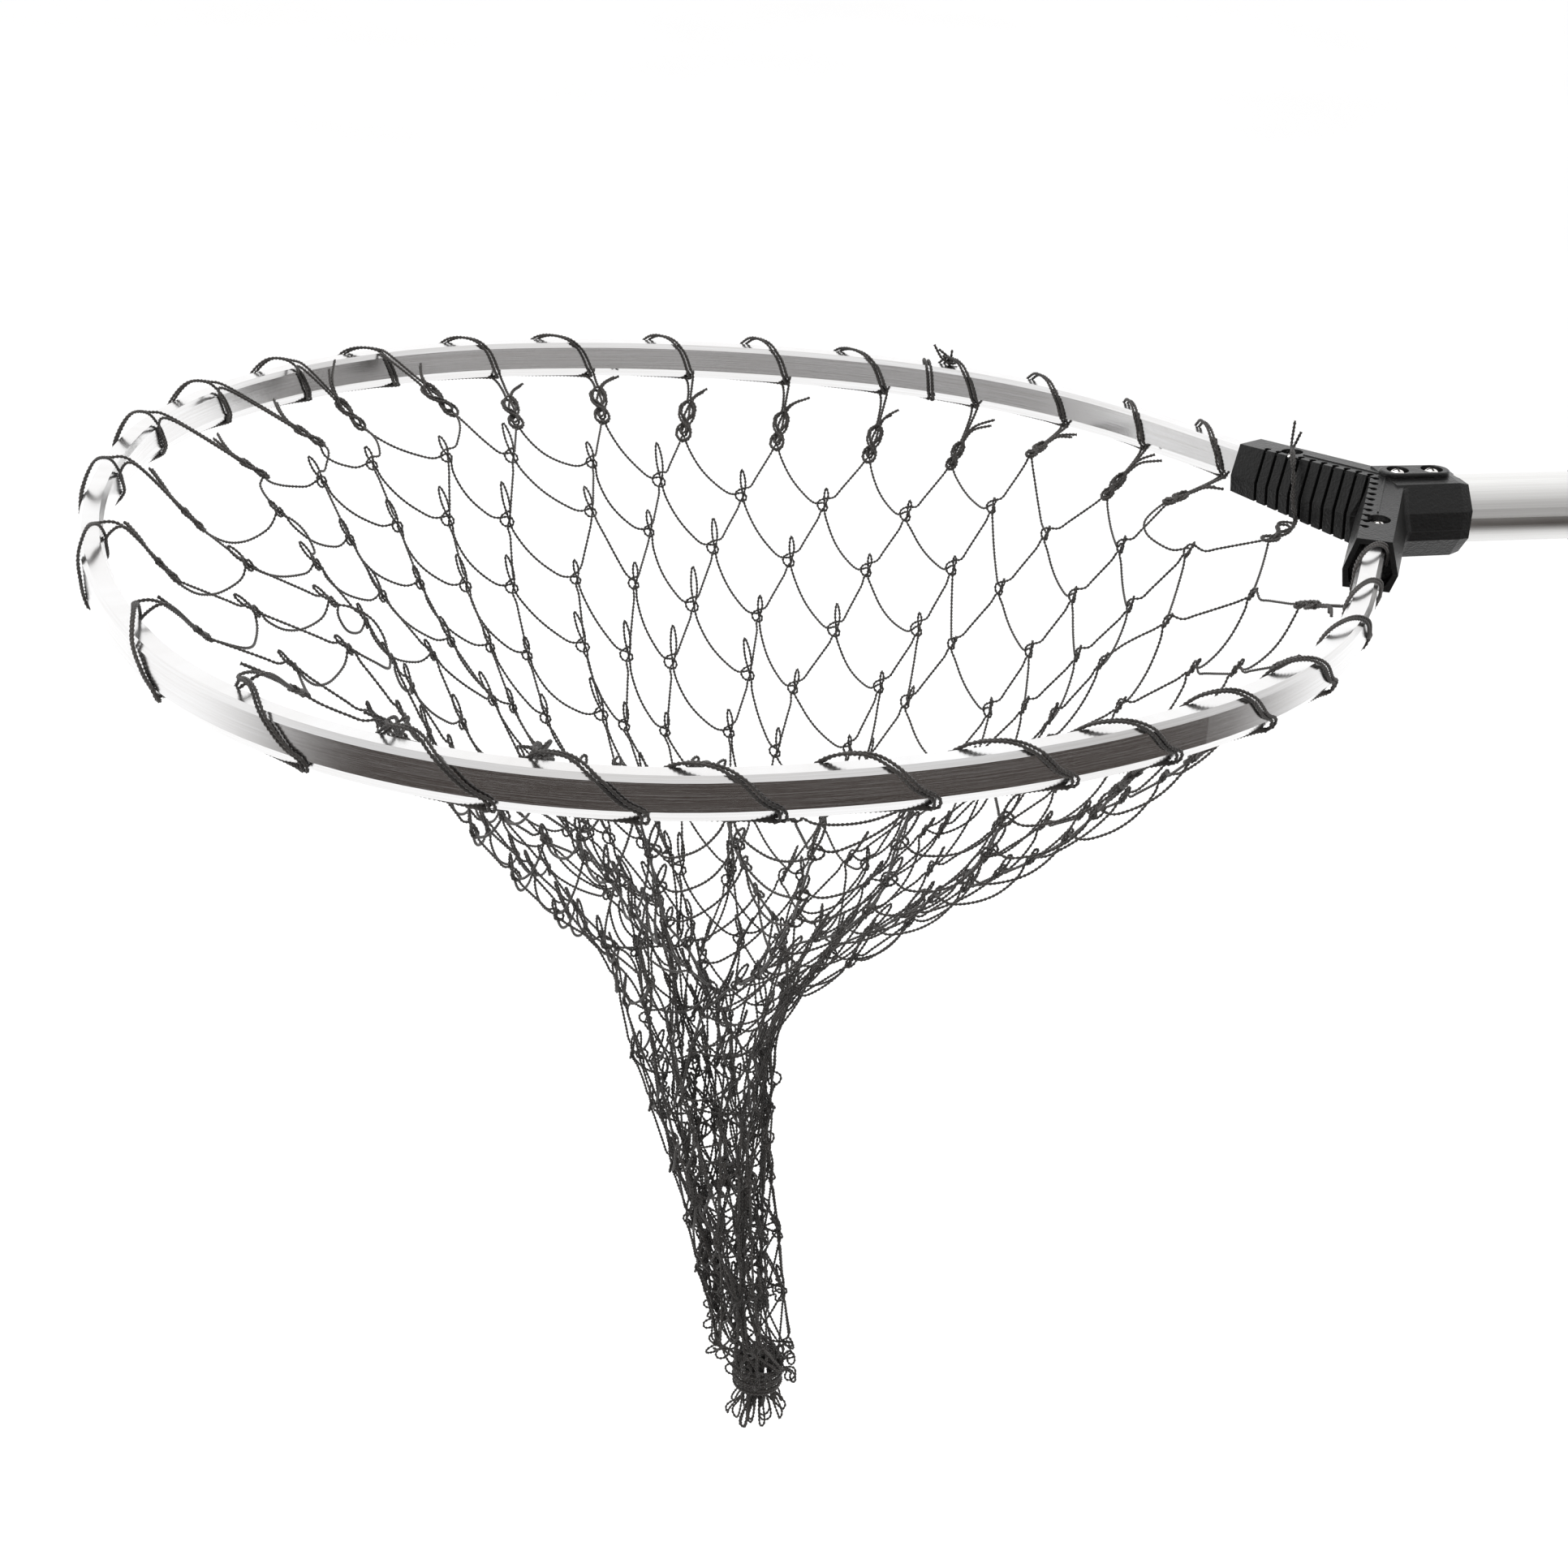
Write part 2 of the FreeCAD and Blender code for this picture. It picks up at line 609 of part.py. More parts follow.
def rear_tube():
    tube = pipe_x(REAR_R, REAR_R - REAR_WALL, REAR_TUBE_X[0], REAR_TUBE_X[1])
    for x in (base_rivet_x(), cap_rivet_x()):
        tube = tube.cut(pin_z(RIVET_R, x, 0, -REAR_R - 1, REAR_R + 1))
    return tube


def base_rivet_x():
    return BASE_X[1] - 6.0


def cap_rivet_x():
    return CAP_X[0] - 14.0


def collar_base():
    """Sleeve on the mouth of the rear tube; its two keys run in the front tube's grooves."""
    mouth = REAR_TUBE_X[0]
    sleeve = pipe_x(BASE_R, REAR_R + PRESS, mouth, BASE_X[1])
    nose = pipe_x(BASE_R, TUBE_R + SLIDE_GAP, BASE_X[0], mouth - CLEAR)
    bridge = pipe_x(BASE_R, REAR_R + PRESS, mouth - CLEAR, mouth)
    top = TUBE_R - TUBE_GROOVE_DEEP + SLIDE_GAP
    keys = side_bars(KEY_WIDE, top, TUBE_R + 2, BASE_X[0], mouth - CLEAR)
    base = nose.fuse([bridge, sleeve] + keys).removeSplitter()
    return base.cut(pin_z(RIVET_R, base_rivet_x(), 0, -BASE_R - 1, BASE_R + 1))


def collar_rivets():
    x = base_rivet_x()
    rivets = []
    for side in (1, -1):
        shank = pin_z(RIVET_R - PRESS, x, 0, REAR_R - REAR_WALL, BASE_R + 0.2)
        head = pin_z(RIVET_HEAD_R, x, 0, BASE_R - 0.35, BASE_R + RIVET_HEAD_HIGH)
        head = head.cut(tube_x(BASE_R + 0.01, x - 9, x + 9))
        rivet = shank.fuse(head)
        if side < 0:
            rivet.rotate(Vec(0, 0, 0), X_AXIS, 180)
        rivets.append(rivet)
    return group(rivets)


def collet():
    """Split ring that the lock collar squeezes on the front tube."""
    start, stop = COLLET_X
    ring = pipe_x(BASE_R - 0.6, TUBE_R + SLIDE_GAP, start, stop)
    slit = Part.makeBox(stop - start + 2, COLLET_SPLIT, BASE_R, Vec(start - 1, -COLLET_SPLIT / 2, 0))
    return ring.cut(slit)


def lock_collar():
    start, stop = LOCK_X
    body = pipe_x(LOCK_R, BASE_R + SLIDE_GAP, start + LOCK_LIP, stop)
    lip = pipe_x(LOCK_R, TUBE_R + 1.0, start, start + LOCK_LIP)
    collar = body.fuse(lip).removeSplitter()
    ends = [edge for edge in collar.Edges
            if edge.Curve.TypeId == "Part::GeomCircle" and abs(edge.Curve.Radius - LOCK_R) < 0.01]
    collar = collar.makeChamfer(LOCK_CHAMFER, ends)
    grooves = []
    for k in range(LOCK_GROOVES):
        corner = Vec(start + LOCK_GROOVE_INSET, 0, LOCK_R + LOCK_GROOVE_R / 3)
        slot = Part.makeCylinder(LOCK_GROOVE_R, stop - start - 2 * LOCK_GROOVE_INSET, corner, X_AXIS)
        slot.rotate(Vec(0, 0, 0), X_AXIS, 360.0 * k / LOCK_GROOVES)
        grooves.append(slot)
    return collar.cut(grooves)


def grip_sleeve():
    sleeve = pipe_x(GRIP_R, REAR_R + PRESS, GRIP_X[0], GRIP_X[1])
    ends = [edge for edge in sleeve.Edges
            if edge.Curve.TypeId == "Part::GeomCircle" and abs(edge.Curve.Radius - GRIP_R) < 0.01]
    return sleeve.makeFillet(GRIP_EDGE - 0.1, ends)


def end_cap():
    start, stop = CAP_X
    rim_end = start + CAP_RIM
    cup = tube_x(GRIP_R, start, rim_end)
    block = Part.makeBox(stop - rim_end, TAB_THICK, 2 * GRIP_R, Vec(rim_end, -TAB_THICK / 2, -GRIP_R))
    tab = block.common(tube_x(GRIP_R, rim_end, stop))
    nose = Part.makeCylinder(GRIP_R, 2 * GRIP_R, Vec(stop - GRIP_R, GRIP_R, 0), -Y_AXIS)
    tab = tab.common(nose.fuse(tube_x(GRIP_R, start, stop - TAB_ROUND)))
    plug = tube_x(REAR_R - REAR_WALL - CLEAR, start - CAP_PLUG_LONG, start + 1)
    cap = cup.fuse([tab, plug]).removeSplitter()
    cap = cap.cut(pipe_x(REAR_R + CLEAR, REAR_R - REAR_WALL - CLEAR, start - 1, REAR_TUBE_X[1] + CLEAR))
    hole = Part.makeCylinder(LANYARD_R, 4 * GRIP_R, Vec(LANYARD_X, 2 * GRIP_R, 0), -Y_AXIS)
    cap = cap.cut(hole)
    return cap.cut(pin_z(RIVET_R, cap_rivet_x(), 0, -GRIP_R, GRIP_R))


def end_cap_rivet():
    rod = pin_z(RIVET_R - PRESS, cap_rivet_x(), 0, -REAR_R, REAR_R)
    return rod.common(tube_x(REAR_R, cap_rivet_x() - 5, cap_rivet_x() + 5))


# ---- net ----------------------------------------------------------------------------------------
def loop_distances():
    """Places of the lacing's loops along the hoop: wider apart round the front."""
    places = []
    start = ARM_LONG + 8.0
    stop = 2 * half_length() - start
    at = start
    while at < stop:
        places.append(at)
        share = (at - start) / (stop - start)
        bump = math.exp(-((share - 0.5) / LOOP_FRONT_SPREAD) ** 2)
        at += LOOP_GAP + LOOP_GAP_FRONT * bump
    return places


def lacing_loop(distance):
    """A loop of lacing round the hoop, with its tail down to the top edge of the bag."""
    point, tangent = full_hoop_point(distance)
    outward = Vec(tangent.y, -tangent.x, 0)
    start = point - tangent * (LOOP_WIDE / 2)
    outer = polygon([start + outward * u + Z_AXIS * z for u, z in hoop_section(0.15 + LOOP_THICK)])
    inner = polygon([start + outward * u + Z_AXIS * z for u, z in hoop_section(0.15)])
    ring = Part.Face([outer, inner]).extrude(tangent * LOOP_WIDE)
    near = -HOOP_WIDE / 2 - LOOP_THICK
    tail_points = [(near, 2.0), (near + 0.8, 2.0), (near + 0.8, -4.0), (near - 7.0, -LOOP_DROP),
                   (near - 8.4, -LOOP_DROP)]
    tail = Part.Face(polygon([start + outward * u + Z_AXIS * z for u, z in tail_points]))
    return ring.fuse(tail.extrude(tangent * LOOP_WIDE)).removeSplitter()


def rim_lacing():
    return group([lacing_loop(distance) for distance in loop_distances()])


def net_outline(level, inset):
    """Corners of the bag at one level, blending from the hoop's plan to a round bunch."""
    z, share, centre_x, bunch = level
    corners = []
    for k in range(NET_CORNERS):
        angle = 2 * math.pi * (k + 0.5) / NET_CORNERS
        reach = hoop_reach(angle) - HOOP_WIDE / 2 - LOOP_THICK
        radius = share * reach + bunch - inset
        corners.append(Vec(centre_x + radius * math.cos(angle), radius * math.sin(angle), z))
    return polygon(corners)


def hoop_reach(angle):
    """Distance from the plan's axis to the hoop's centre line in one direction."""
    ray = Vec(math.cos(angle), abs(math.sin(angle)), 0)
    low, high = 0.0, half_length()
    for _ in range(40):
        middle = (low + high) / 2
        point = hoop_point(middle)[0] - Vec(PLAN_X, 0, 0)
        if point.x * ray.y - point.y * ray.x > 0:
            low = middle
        else:
            high = middle
    return (hoop_point(low)[0] - Vec(PLAN_X, 0, 0)).Length


def net_shell(levels):
    """Thin open shell with the bag's hanging shape between the first and the last level."""
    outer = loft([net_outline(level, 0.0) for level in levels])
    inner = loft([net_outline(level, NET_WALL) for level in levels])
    return outer.cut(inner)


def net_bag():
    """The open part of the bag: a funnel down to the limp column."""
    return net_shell(NET_LEVELS[:COLUMN_LEVEL + 1])


def net_column():
    """The limp column, which closes just above the tie."""
    tip = (TIE_Z[1], 0.0, TIE_X, TIE_R)
    outer = loft([net_outline(level, 0.0) for level in NET_LEVELS[COLUMN_LEVEL:] + (tip,)])
    inner = loft([net_outline(level, NET_WALL) for level in NET_LEVELS[COLUMN_LEVEL:]])
    return outer.cut(inner)


def net_tie():
    """Cord wound round the gathered end of the bag."""
    return Part.makeCylinder(TIE_R, TIE_Z[1] - TIE_Z[0], Vec(TIE_X, 0, TIE_Z[0]), Z_AXIS)


def net_tail():
    """Gathered end of the netting below the tie."""
    return Part.makeCone(TIE_R, TAIL_R, TIE_Z[0] - NET_END_Z, Vec(TIE_X, 0, TIE_Z[0]), -Z_AXIS)


def main():
    os.makedirs("parts", exist_ok=True)
    upper, lower = yoke_shells()
    pieces = {
        "hoop_tube": hoop_tube(),
        "hoop_end_inserts": hoop_end_inserts(),
        "yoke_upper_shell": upper,
        "yoke_lower_shell": lower,
        "boss_screws": boss_screws(),
        "boss_nuts": boss_nuts(),
        "arm_screws": arm_screws(),
        "arm_nuts": arm_nuts(),
        "front_tube": front_tube(),
        "front_tube_plug": front_tube_plug(),
        "guide_bush": guide_bush(),
        "guide_bush_rivets": guide_bush_rivets(),
        "rear_tube": rear_tube(),
        "collar_base": collar_base(),
        "collar_rivets": collar_rivets(),
        "collet": collet(),
        "lock_collar": lock_collar(),
        "grip_sleeve": grip_sleeve(),
        "end_cap": end_cap(),
        "end_cap_rivet": end_cap_rivet(),
        "rim_lacing": rim_lacing(),
        "net_bag": net_bag(),
        "net_column": net_column(),
        "net_tie": net_tie(),
        "net_tail": net_tail(),
    }
    for name, shape in pieces.items():
        box = shape.BoundBox
        print(name, shape.isValid(), len(shape.Solids), round(shape.Volume), [round(v, 1) for v in (
            box.XMin, box.YMin, box.ZMin, box.XMax, box.YMax, box.ZMax)])
        shape.exportStep("parts/" + name + ".step")


main()
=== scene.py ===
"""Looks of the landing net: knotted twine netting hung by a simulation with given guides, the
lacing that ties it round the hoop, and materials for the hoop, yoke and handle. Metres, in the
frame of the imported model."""
import json
import math
import bpy
import numpy as np
from mathutils import Matrix, Vector
from mathutils.bvhtree import BVHTree


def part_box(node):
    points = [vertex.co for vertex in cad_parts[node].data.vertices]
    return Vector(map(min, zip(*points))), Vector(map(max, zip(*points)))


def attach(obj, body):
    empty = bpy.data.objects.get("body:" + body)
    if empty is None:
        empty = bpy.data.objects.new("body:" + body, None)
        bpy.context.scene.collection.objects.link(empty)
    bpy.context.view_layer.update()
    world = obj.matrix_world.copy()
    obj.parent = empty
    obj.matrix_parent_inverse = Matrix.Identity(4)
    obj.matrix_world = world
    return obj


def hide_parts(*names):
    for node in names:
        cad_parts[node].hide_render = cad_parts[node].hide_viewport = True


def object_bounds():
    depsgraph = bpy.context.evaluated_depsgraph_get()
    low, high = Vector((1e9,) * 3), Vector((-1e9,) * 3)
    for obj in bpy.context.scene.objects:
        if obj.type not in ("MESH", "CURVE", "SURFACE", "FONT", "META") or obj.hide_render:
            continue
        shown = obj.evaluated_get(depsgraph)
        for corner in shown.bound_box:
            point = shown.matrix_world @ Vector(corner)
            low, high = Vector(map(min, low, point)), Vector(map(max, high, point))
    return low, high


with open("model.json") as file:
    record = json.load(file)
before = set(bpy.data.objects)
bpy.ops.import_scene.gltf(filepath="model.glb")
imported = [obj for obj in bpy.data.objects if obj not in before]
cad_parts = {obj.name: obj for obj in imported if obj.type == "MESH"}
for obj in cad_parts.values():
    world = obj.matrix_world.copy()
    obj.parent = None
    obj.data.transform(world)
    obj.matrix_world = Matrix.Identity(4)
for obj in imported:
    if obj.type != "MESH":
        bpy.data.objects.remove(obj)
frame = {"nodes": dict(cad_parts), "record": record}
CAD_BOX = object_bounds()
SEED = 4

# ---- camera -------------------------------------------------------------------------------------
CAMERA_AT = Vector((-0.92887, -1.01765, 0.35617))
CAMERA_TURN = math.radians(-14.298)     # from looking along +Y
CAMERA_DIP = math.radians(24.064)
CAMERA_ROLL = math.radians(3.108)
CAMERA_LENS = 63.52
SENSOR = 36.0

# ---- twine --------------------------------------------------------------------------------------
TWINE_R = 0.00054
LACING_R = 0.00064
TWINE_PITCH = 0.0033        # length of one full turn of the two plies
TWINE_STEP = 0.0006

# ---- netting ------------------------------------------------------------------------------------
ROWS = 16
SLACK_SAG = 0.14            # of a slack bar's reach
TAUT_BAR = 0.031
SLACK_BAR = 0.0405
BAR_SPREAD = 0.035          # spread of the bars' lengths, as a part of each
KNOT_DROP = 0.028           # from the hoop's lower edge to the first knots
YOKE_DROP = 0.016           # from the yoke's tie to its first knot
SUB_NODES = 2               # particles along each bar
FREE_STEPS = 2600
TIME_STEP = 1.0 / 700.0
PASSES = 2                  # over the links in each time step
GRAVITY = 9.81
KNOT_UPRIGHT = 0.6          # how far the knots stand up rather than lie along their bars
KEPT_SPEED = 0.99, 0.96     # part of the speed kept in each step, at first and while settling
MOST_SPEED = 3.0
STRAY_PULL = 0.08           # sideways, in parts of gravity
BAR_STIFFNESS = 0.06        # how far each step straightens the bars
BUNCH_GAP = 0.0075          # that neighbouring knots of a row keep
BUNCH_PUSH = 0.3            # part of a missing gap that each pass makes good
ROOM_PUSH = 0.35            # part of the way back into the hanging space in each step
# the outward pull that holds the funnel open: height, and pull in parts of gravity
FULLNESS = ((-0.175, 0.0), (-0.150, 0.9), (-0.050, 0.9), (-0.020, 0.2))
SCREW_IN = 0.004            # from the corner of the arm screws' box to near the far screw's axis
# where the netting's tie leaves the yoke: from that place, and its height
ARM_TIE = (-0.0042, -0.0187, -0.012)
# hanging space of the bag: height, centre and radius, down to the tie
HANG = (
    (0.000, -0.668, 0.300),
    (-0.080, -0.675, 0.280),
    (-0.120, -0.684, 0.190),
    (-0.150, -0.690, 0.125),
    (-0.175, -0.693, 0.064),
    (-0.200, -0.697, 0.044),
    (-0.235, -0.701, 0.037),
    (-0.285, -0.693, 0.033),
    (-0.325, -0.676, 0.029),
    (-0.390, -0.668, 0.024),
    (-0.420, -0.667, 0.010),
)

# ---- lacing -------------------------------------------------------------------------------------
NEAR_SIDE_LEAN = (-0.15, 0.0), (0.014, 0.0)     # Y, and how much further its turns lean
TOP_TIE = 3                 # which turn of the lacing is tied again on top
TURN_STEP = 0.0021          # along the hoop, from one turn of a loop to the next
TAIL_ROOT = 0.0150          # above a loop's knot, where its cut tails leave it
YOKE_KNOT_SIZE = (-0.62, -0.52), (1.0, 0.68)    # X, and the size of the loops' knots there
TOP_TIE_ALONG = 0.018
TOP_TIE_SIZE = 0.42
FRAYED_ENDS = 6
ARM_LINE = (-0.469, 0.883, 0.0)                 # direction of the yoke's far arm
# route of the yoke's tie from the screw's top, down the ribs: inwards, back along the arm, height,
# and the side on which the two strands lie
YOKE_ROUTE = (
    (0.0000, 0.0000, 0.0035, 1), (0.0060, 0.0050, 0.0030, -1), (0.0100, 0.0090, 0.0000, -1),
    (0.0120, 0.0120, -0.0060, 1), (0.0132, 0.0135, -0.0125, -1), (0.0125, 0.0145, -0.0190, 1),
    (0.0110, 0.0150, -0.0240, -1),
)
END_TURNS = 8               # of the tie round the gathered end
END_STRANDS = 26            # of the netting below that tie

# ---- light --------------------------------------------------------------------------------------
SURROUND = 1.04             # white of the surroundings in reflections
BACKDROP = 1.05             # and behind the net
WORLD_STRENGTH = 1.20
ROOM_COLOUR = (0.036, 0.026, 0.021, 1.0)
ROOM_EDGE = -0.45, 0.32     # cosine to the camera's side at which the dark room starts and is full
# how dark the room is by height, from straight down at 0 to straight up at 1
ROOM_LEVELS = (
    (0.06, 0.0), (0.14, 1.0), (0.325, 1.0), (0.36, 0.50),
    (0.50, 0.62), (0.68, 0.55), (0.80, 0.42), (0.94, 0.15),
)


# ---- node helpers -------------------------------------------------------------------------------
class Nodes:
    """Short-hand for building a material's node tree."""

    def __init__(self, name):
        self.material = bpy.data.materials.new(name)
        self.material.use_nodes = True
        self.tree = self.material.node_tree
        self.shader = self.tree.nodes["Principled BSDF"]

    def add(self, kind, **values):
        node = self.tree.nodes.new(kind)
        for key, value in values.items():
            if hasattr(node, key):
                setattr(node, key, value)
            else:
                node.inputs[key.replace("_", " ")].default_value = value
        return node

    def link(self, output, target):
        self.tree.links.new(output, target)

    def set(self, **values):
        for key, value in values.items():
            self.shader.inputs[key.replace("_", " ")].default_value = value

    def maths(self, operation, first, second=None):
        node = self.add("ShaderNodeMath", operation=operation)
        for place, value in enumerate((first, second)):
            if isinstance(value, (int, float)):
                node.inputs[place].default_value = value
            elif value is not None:
                self.link(value, node.inputs[place])
        return node.outputs[0]

    def place(self):
        return self.add("ShaderNodeTexCoord").outputs["Object"]

    def noise(self, vector, scale, detail=3.0, rough=0.5):
        node = self.add("ShaderNodeTexNoise", Scale=scale, Detail=detail, Roughness=rough)
        self.link(vector, node.inputs["Vector"])
        return node.outputs["Fac"]

    def ramp(self, value, stops):
        node = self.add("ShaderNodeValToRGB")
        elements = node.color_ramp.elements
        while len(elements) < len(stops):
            elements.new(0.5)
        for element, (position, colour) in zip(elements, stops):
            element.position = position
            element.color = (*colour, 1.0)
        self.link(value, node.inputs["Fac"])
        return node.outputs["Color"]

    def spread(self, value, low, high):
        node = self.add("ShaderNodeMapRange", To_Min=low, To_Max=high)
        self.link(value, node.inputs["Value"])
        return node.outputs["Result"]

    def bump(self, height, strength, distance, edge=0.0):
        """Bumps from a height; with an edge radius, sharp edges catch the light as well."""
        node = self.add("ShaderNodeBump", Strength=strength, Distance=distance)
        if edge > 0:
            rounded = self.add("ShaderNodeBevel", Radius=edge)
            rounded.samples = 4
            self.link(rounded.outputs["Normal"], node.inputs["Normal"])
        self.link(height, node.inputs["Height"])
        self.link(node.outputs["Normal"], self.shader.inputs["Normal"])


def grey(value, warm=0.0):
    return (value * (1 + warm), value, value * (1 - warm))


def brushed_hoop():
    """Aluminium brushed along the hoop: the streaks follow the angle about the hoop's centre."""
    low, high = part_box("hoop_tube")
    m = Nodes("brushed_hoop")
    split = m.add("ShaderNodeSeparateXYZ")
    m.link(m.place(), split.inputs[0])
    from_centre = m.maths("SUBTRACT", split.outputs["X"], (low.x + high.x) / 2)
    angle = m.maths("ARCTAN2", split.outputs["Y"], from_centre)
    along = m.add("ShaderNodeCombineXYZ")
    m.link(m.maths("MULTIPLY", angle, 1.1), along.inputs["X"])
    m.link(m.maths("MULTIPLY", split.outputs["Z"], 420.0), along.inputs["Y"])
    streaks = m.noise(along.outputs[0], 2.6, 6.0, 0.75)
    broad = m.noise(m.place(), 9.0, 3.0)
    tone = m.maths("ADD", m.maths("MULTIPLY", streaks, 0.7), m.maths("MULTIPLY", broad, 0.3))
    m.link(m.ramp(tone, [(0.30, (0.66, 0.645, 0.635)), (0.62, (0.79, 0.79, 0.795))]),
           m.shader.inputs["Base Color"])
    m.link(m.spread(streaks, 0.12, 0.24), m.shader.inputs["Roughness"])
    m.set(Metallic=1.0)
    m.bump(streaks, 0.16, 0.0002)
    return m.material


def drawn_tube():
    """Satin aluminium tube with faint draw lines along the handle."""
    m = Nodes("drawn_tube")
    split = m.add("ShaderNodeSeparateXYZ")
    m.link(m.place(), split.inputs[0])
    angle = m.maths("ARCTAN2", split.outputs["Y"], split.outputs["Z"])
    lines = m.add("ShaderNodeCombineXYZ")
    m.link(m.maths("MULTIPLY", split.outputs["X"], 2.2), lines.inputs["X"])
    m.link(m.maths("MULTIPLY", angle, 14.0), lines.inputs["Y"])
    streaks = m.noise(lines.outputs[0], 3.0, 5.0, 0.7)
    cloud = m.noise(m.place(), 30.0, 4.0)
    m.link(m.ramp(streaks, [(0.30, (0.64, 0.63, 0.62)), (0.65, (0.77, 0.77, 0.76))]),
           m.shader.inputs["Base Color"])
    m.link(m.spread(m.maths("MULTIPLY", m.maths("ADD", streaks, cloud), 0.5), 0.24, 0.44),
           m.shader.inputs["Roughness"])
    m.set(Metallic=1.0)
    m.bump(streaks, 0.15, 0.0002)
    return m.material


def moulded(name, colour, rough, grain, strength, lift=1.6):
    """Moulded plastic or rubber with a spark-eroded grain and slightly worn high spots."""
    m = Nodes(name)
    fine = m.noise(m.place(), grain, 2.0)
    coarse = m.noise(m.place(), grain * 0.38, 2.0)
    patches = m.noise(m.place(), 45.0, 5.0, 0.6)
    height = m.maths("ADD", m.maths("MULTIPLY", fine, 0.6), m.maths("MULTIPLY", coarse, 0.4))
    tone = m.maths("ADD", m.maths("MULTIPLY", patches, 0.6), m.maths("MULTIPLY", height, 0.4))
    worn = tuple(min(1.0, c * lift) for c in colour)
    m.link(m.ramp(tone, [(0.38, colour), (0.66, worn)]), m.shader.inputs["Base Color"])
    m.link(m.spread(patches, rough - 0.07, rough + 0.09), m.shader.inputs["Roughness"])
    m.shader.inputs["Specular IOR Level"].default_value = 0.30
    m.bump(height, strength, 0.0005, edge=0.0005)
    return m.material


def plated(name, colour, rough):
    """Bright plated steel or plain aluminium of small fasteners."""
    m = Nodes(name)
    speckle = m.noise(m.place(), 900.0, 3.0)
    stain = m.noise(m.place(), 160.0, 4.0, 0.65)
    dull = tuple(c * 0.72 for c in colour)
    m.link(m.ramp(stain, [(0.36, dull), (0.60, colour)]), m.shader.inputs["Base Color"])
    m.link(m.spread(speckle, rough - 0.06, rough + 0.12), m.shader.inputs["Roughness"])
    m.set(Metallic=1.0)
    m.bump(speckle, 0.12, 0.0002)
    return m.material


def twine_cloth():
    """Dark synthetic twine: fuzzy plies with uneven dye."""
    m = Nodes("twine_cloth")
    fibre = m.noise(m.place(), 5200.0, 2.0, 0.6)
    dye = m.noise(m.place(), 60.0, 3.0, 0.6)
    tone = m.maths("ADD", m.maths("MULTIPLY", fibre, 0.55), m.maths("MULTIPLY", dye, 0.45))
    m.link(m.ramp(tone, [(0.36, (0.016, 0.014, 0.013)), (0.66, (0.070, 0.062, 0.056))]),
           m.shader.inputs["Base Color"])
    m.link(m.spread(fibre, 0.55, 0.9), m.shader.inputs["Roughness"])
    m.set(Sheen_Weight=0.35, Sheen_Roughness=0.4)
    m.bump(fibre, 0.5, 0.0003)
    return m.material


def dress_cad_nodes():
    looks = {
        "hoop_aluminium": brushed_hoop(),
        "handle_aluminium": drawn_tube(),
        "black_plastic": moulded("black_plastic", grey(0.0055), 0.34, 1050.0, 0.9),
        "inner_plastic": moulded("inner_plastic", grey(0.62, 0.01), 0.38, 700.0, 0.10, 1.1),
        "screw_steel": plated("screw_steel", grey(0.80, 0.02), 0.20),
        "rivet_aluminium": plated("rivet_aluminium", grey(0.76), 0.34),
        "grip_foam": moulded("grip_foam", grey(0.022), 0.80, 1300.0, 0.60),
        "black_rubber": moulded("black_rubber", grey(0.026), 0.62, 900.0, 0.30),
        "twine": twine_cloth(),
    }
    for part in frame["record"]["subparts"]:
        mesh = frame["nodes"][part["node"]].data
        mesh.materials.clear()
        mesh.materials.append(looks[part["material_slot"]])
    return looks


# ---- hoop line ----------------------------------------------------------------------------------
class HoopLine:
    """Centre line of the hoop's tube, by rays from its centre to its inner wall."""

    RAYS = 1440

    def __init__(self):
        low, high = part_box("hoop_tube")
        self.top, self.bottom = high.z, low.z
        mesh = frame["nodes"]["hoop_tube"].data
        tree = BVHTree.FromPolygons([v.co for v in mesh.vertices], [p.vertices for p in mesh.polygons])
        self.centre = Vector(((low.x + high.x) / 2, 0, (low.z + high.z) / 2))
        self.reach = self.centre.x - low.x
        self.half = (tree.ray_cast(self.centre, Vector((-1, 0, 0)))[0].x - low.x) / 2
        walls = []
        for step in range(self.RAYS):
            angle = 2 * math.pi * (step + 0.5) / self.RAYS
            ray = Vector((math.cos(angle), math.sin(angle), 0))
            hit = tree.ray_cast(self.centre, ray)[0]
            if hit:
                walls.append((hit.x, hit.y))
        walls = np.array(walls)
        along = np.roll(walls, -4, 0) - np.roll(walls, 4, 0)
        # the line is open at the yoke, so each end takes the direction of the wall just inside it
        along[:4], along[-4:] = walls[5] - walls[1], walls[-2] - walls[-6]
        along /= np.linalg.norm(along, axis=1)[:, None]
        self.line = walls + np.stack([along[:, 1], -along[:, 0]], 1) * self.half
        self.along = along
        steps = np.linalg.norm(np.diff(self.line, axis=0), axis=1)
        self.length = np.concatenate([[0.0], np.cumsum(steps)])

    def at(self, distance):
        """Place, direction along and direction outward at a distance from the line's start."""
        place = np.stack([np.interp(distance, self.length, self.line[:, k]) for k in (0, 1)], -1)
        along = np.stack([np.interp(distance, self.length, self.along[:, k]) for k in (0, 1)], -1)
        along /= np.linalg.norm(along, axis=-1, keepdims=True)
        return place, along, np.stack([along[..., 1], -along[..., 0]], -1)

    def nearest(self, points):
        """Distance along the line of the nearest point to each of some places."""
        gaps = ((points[:, None, :2] - self.line[None, ::4]) ** 2).sum(-1)
        return self.length[::4][gaps.argmin(1)]


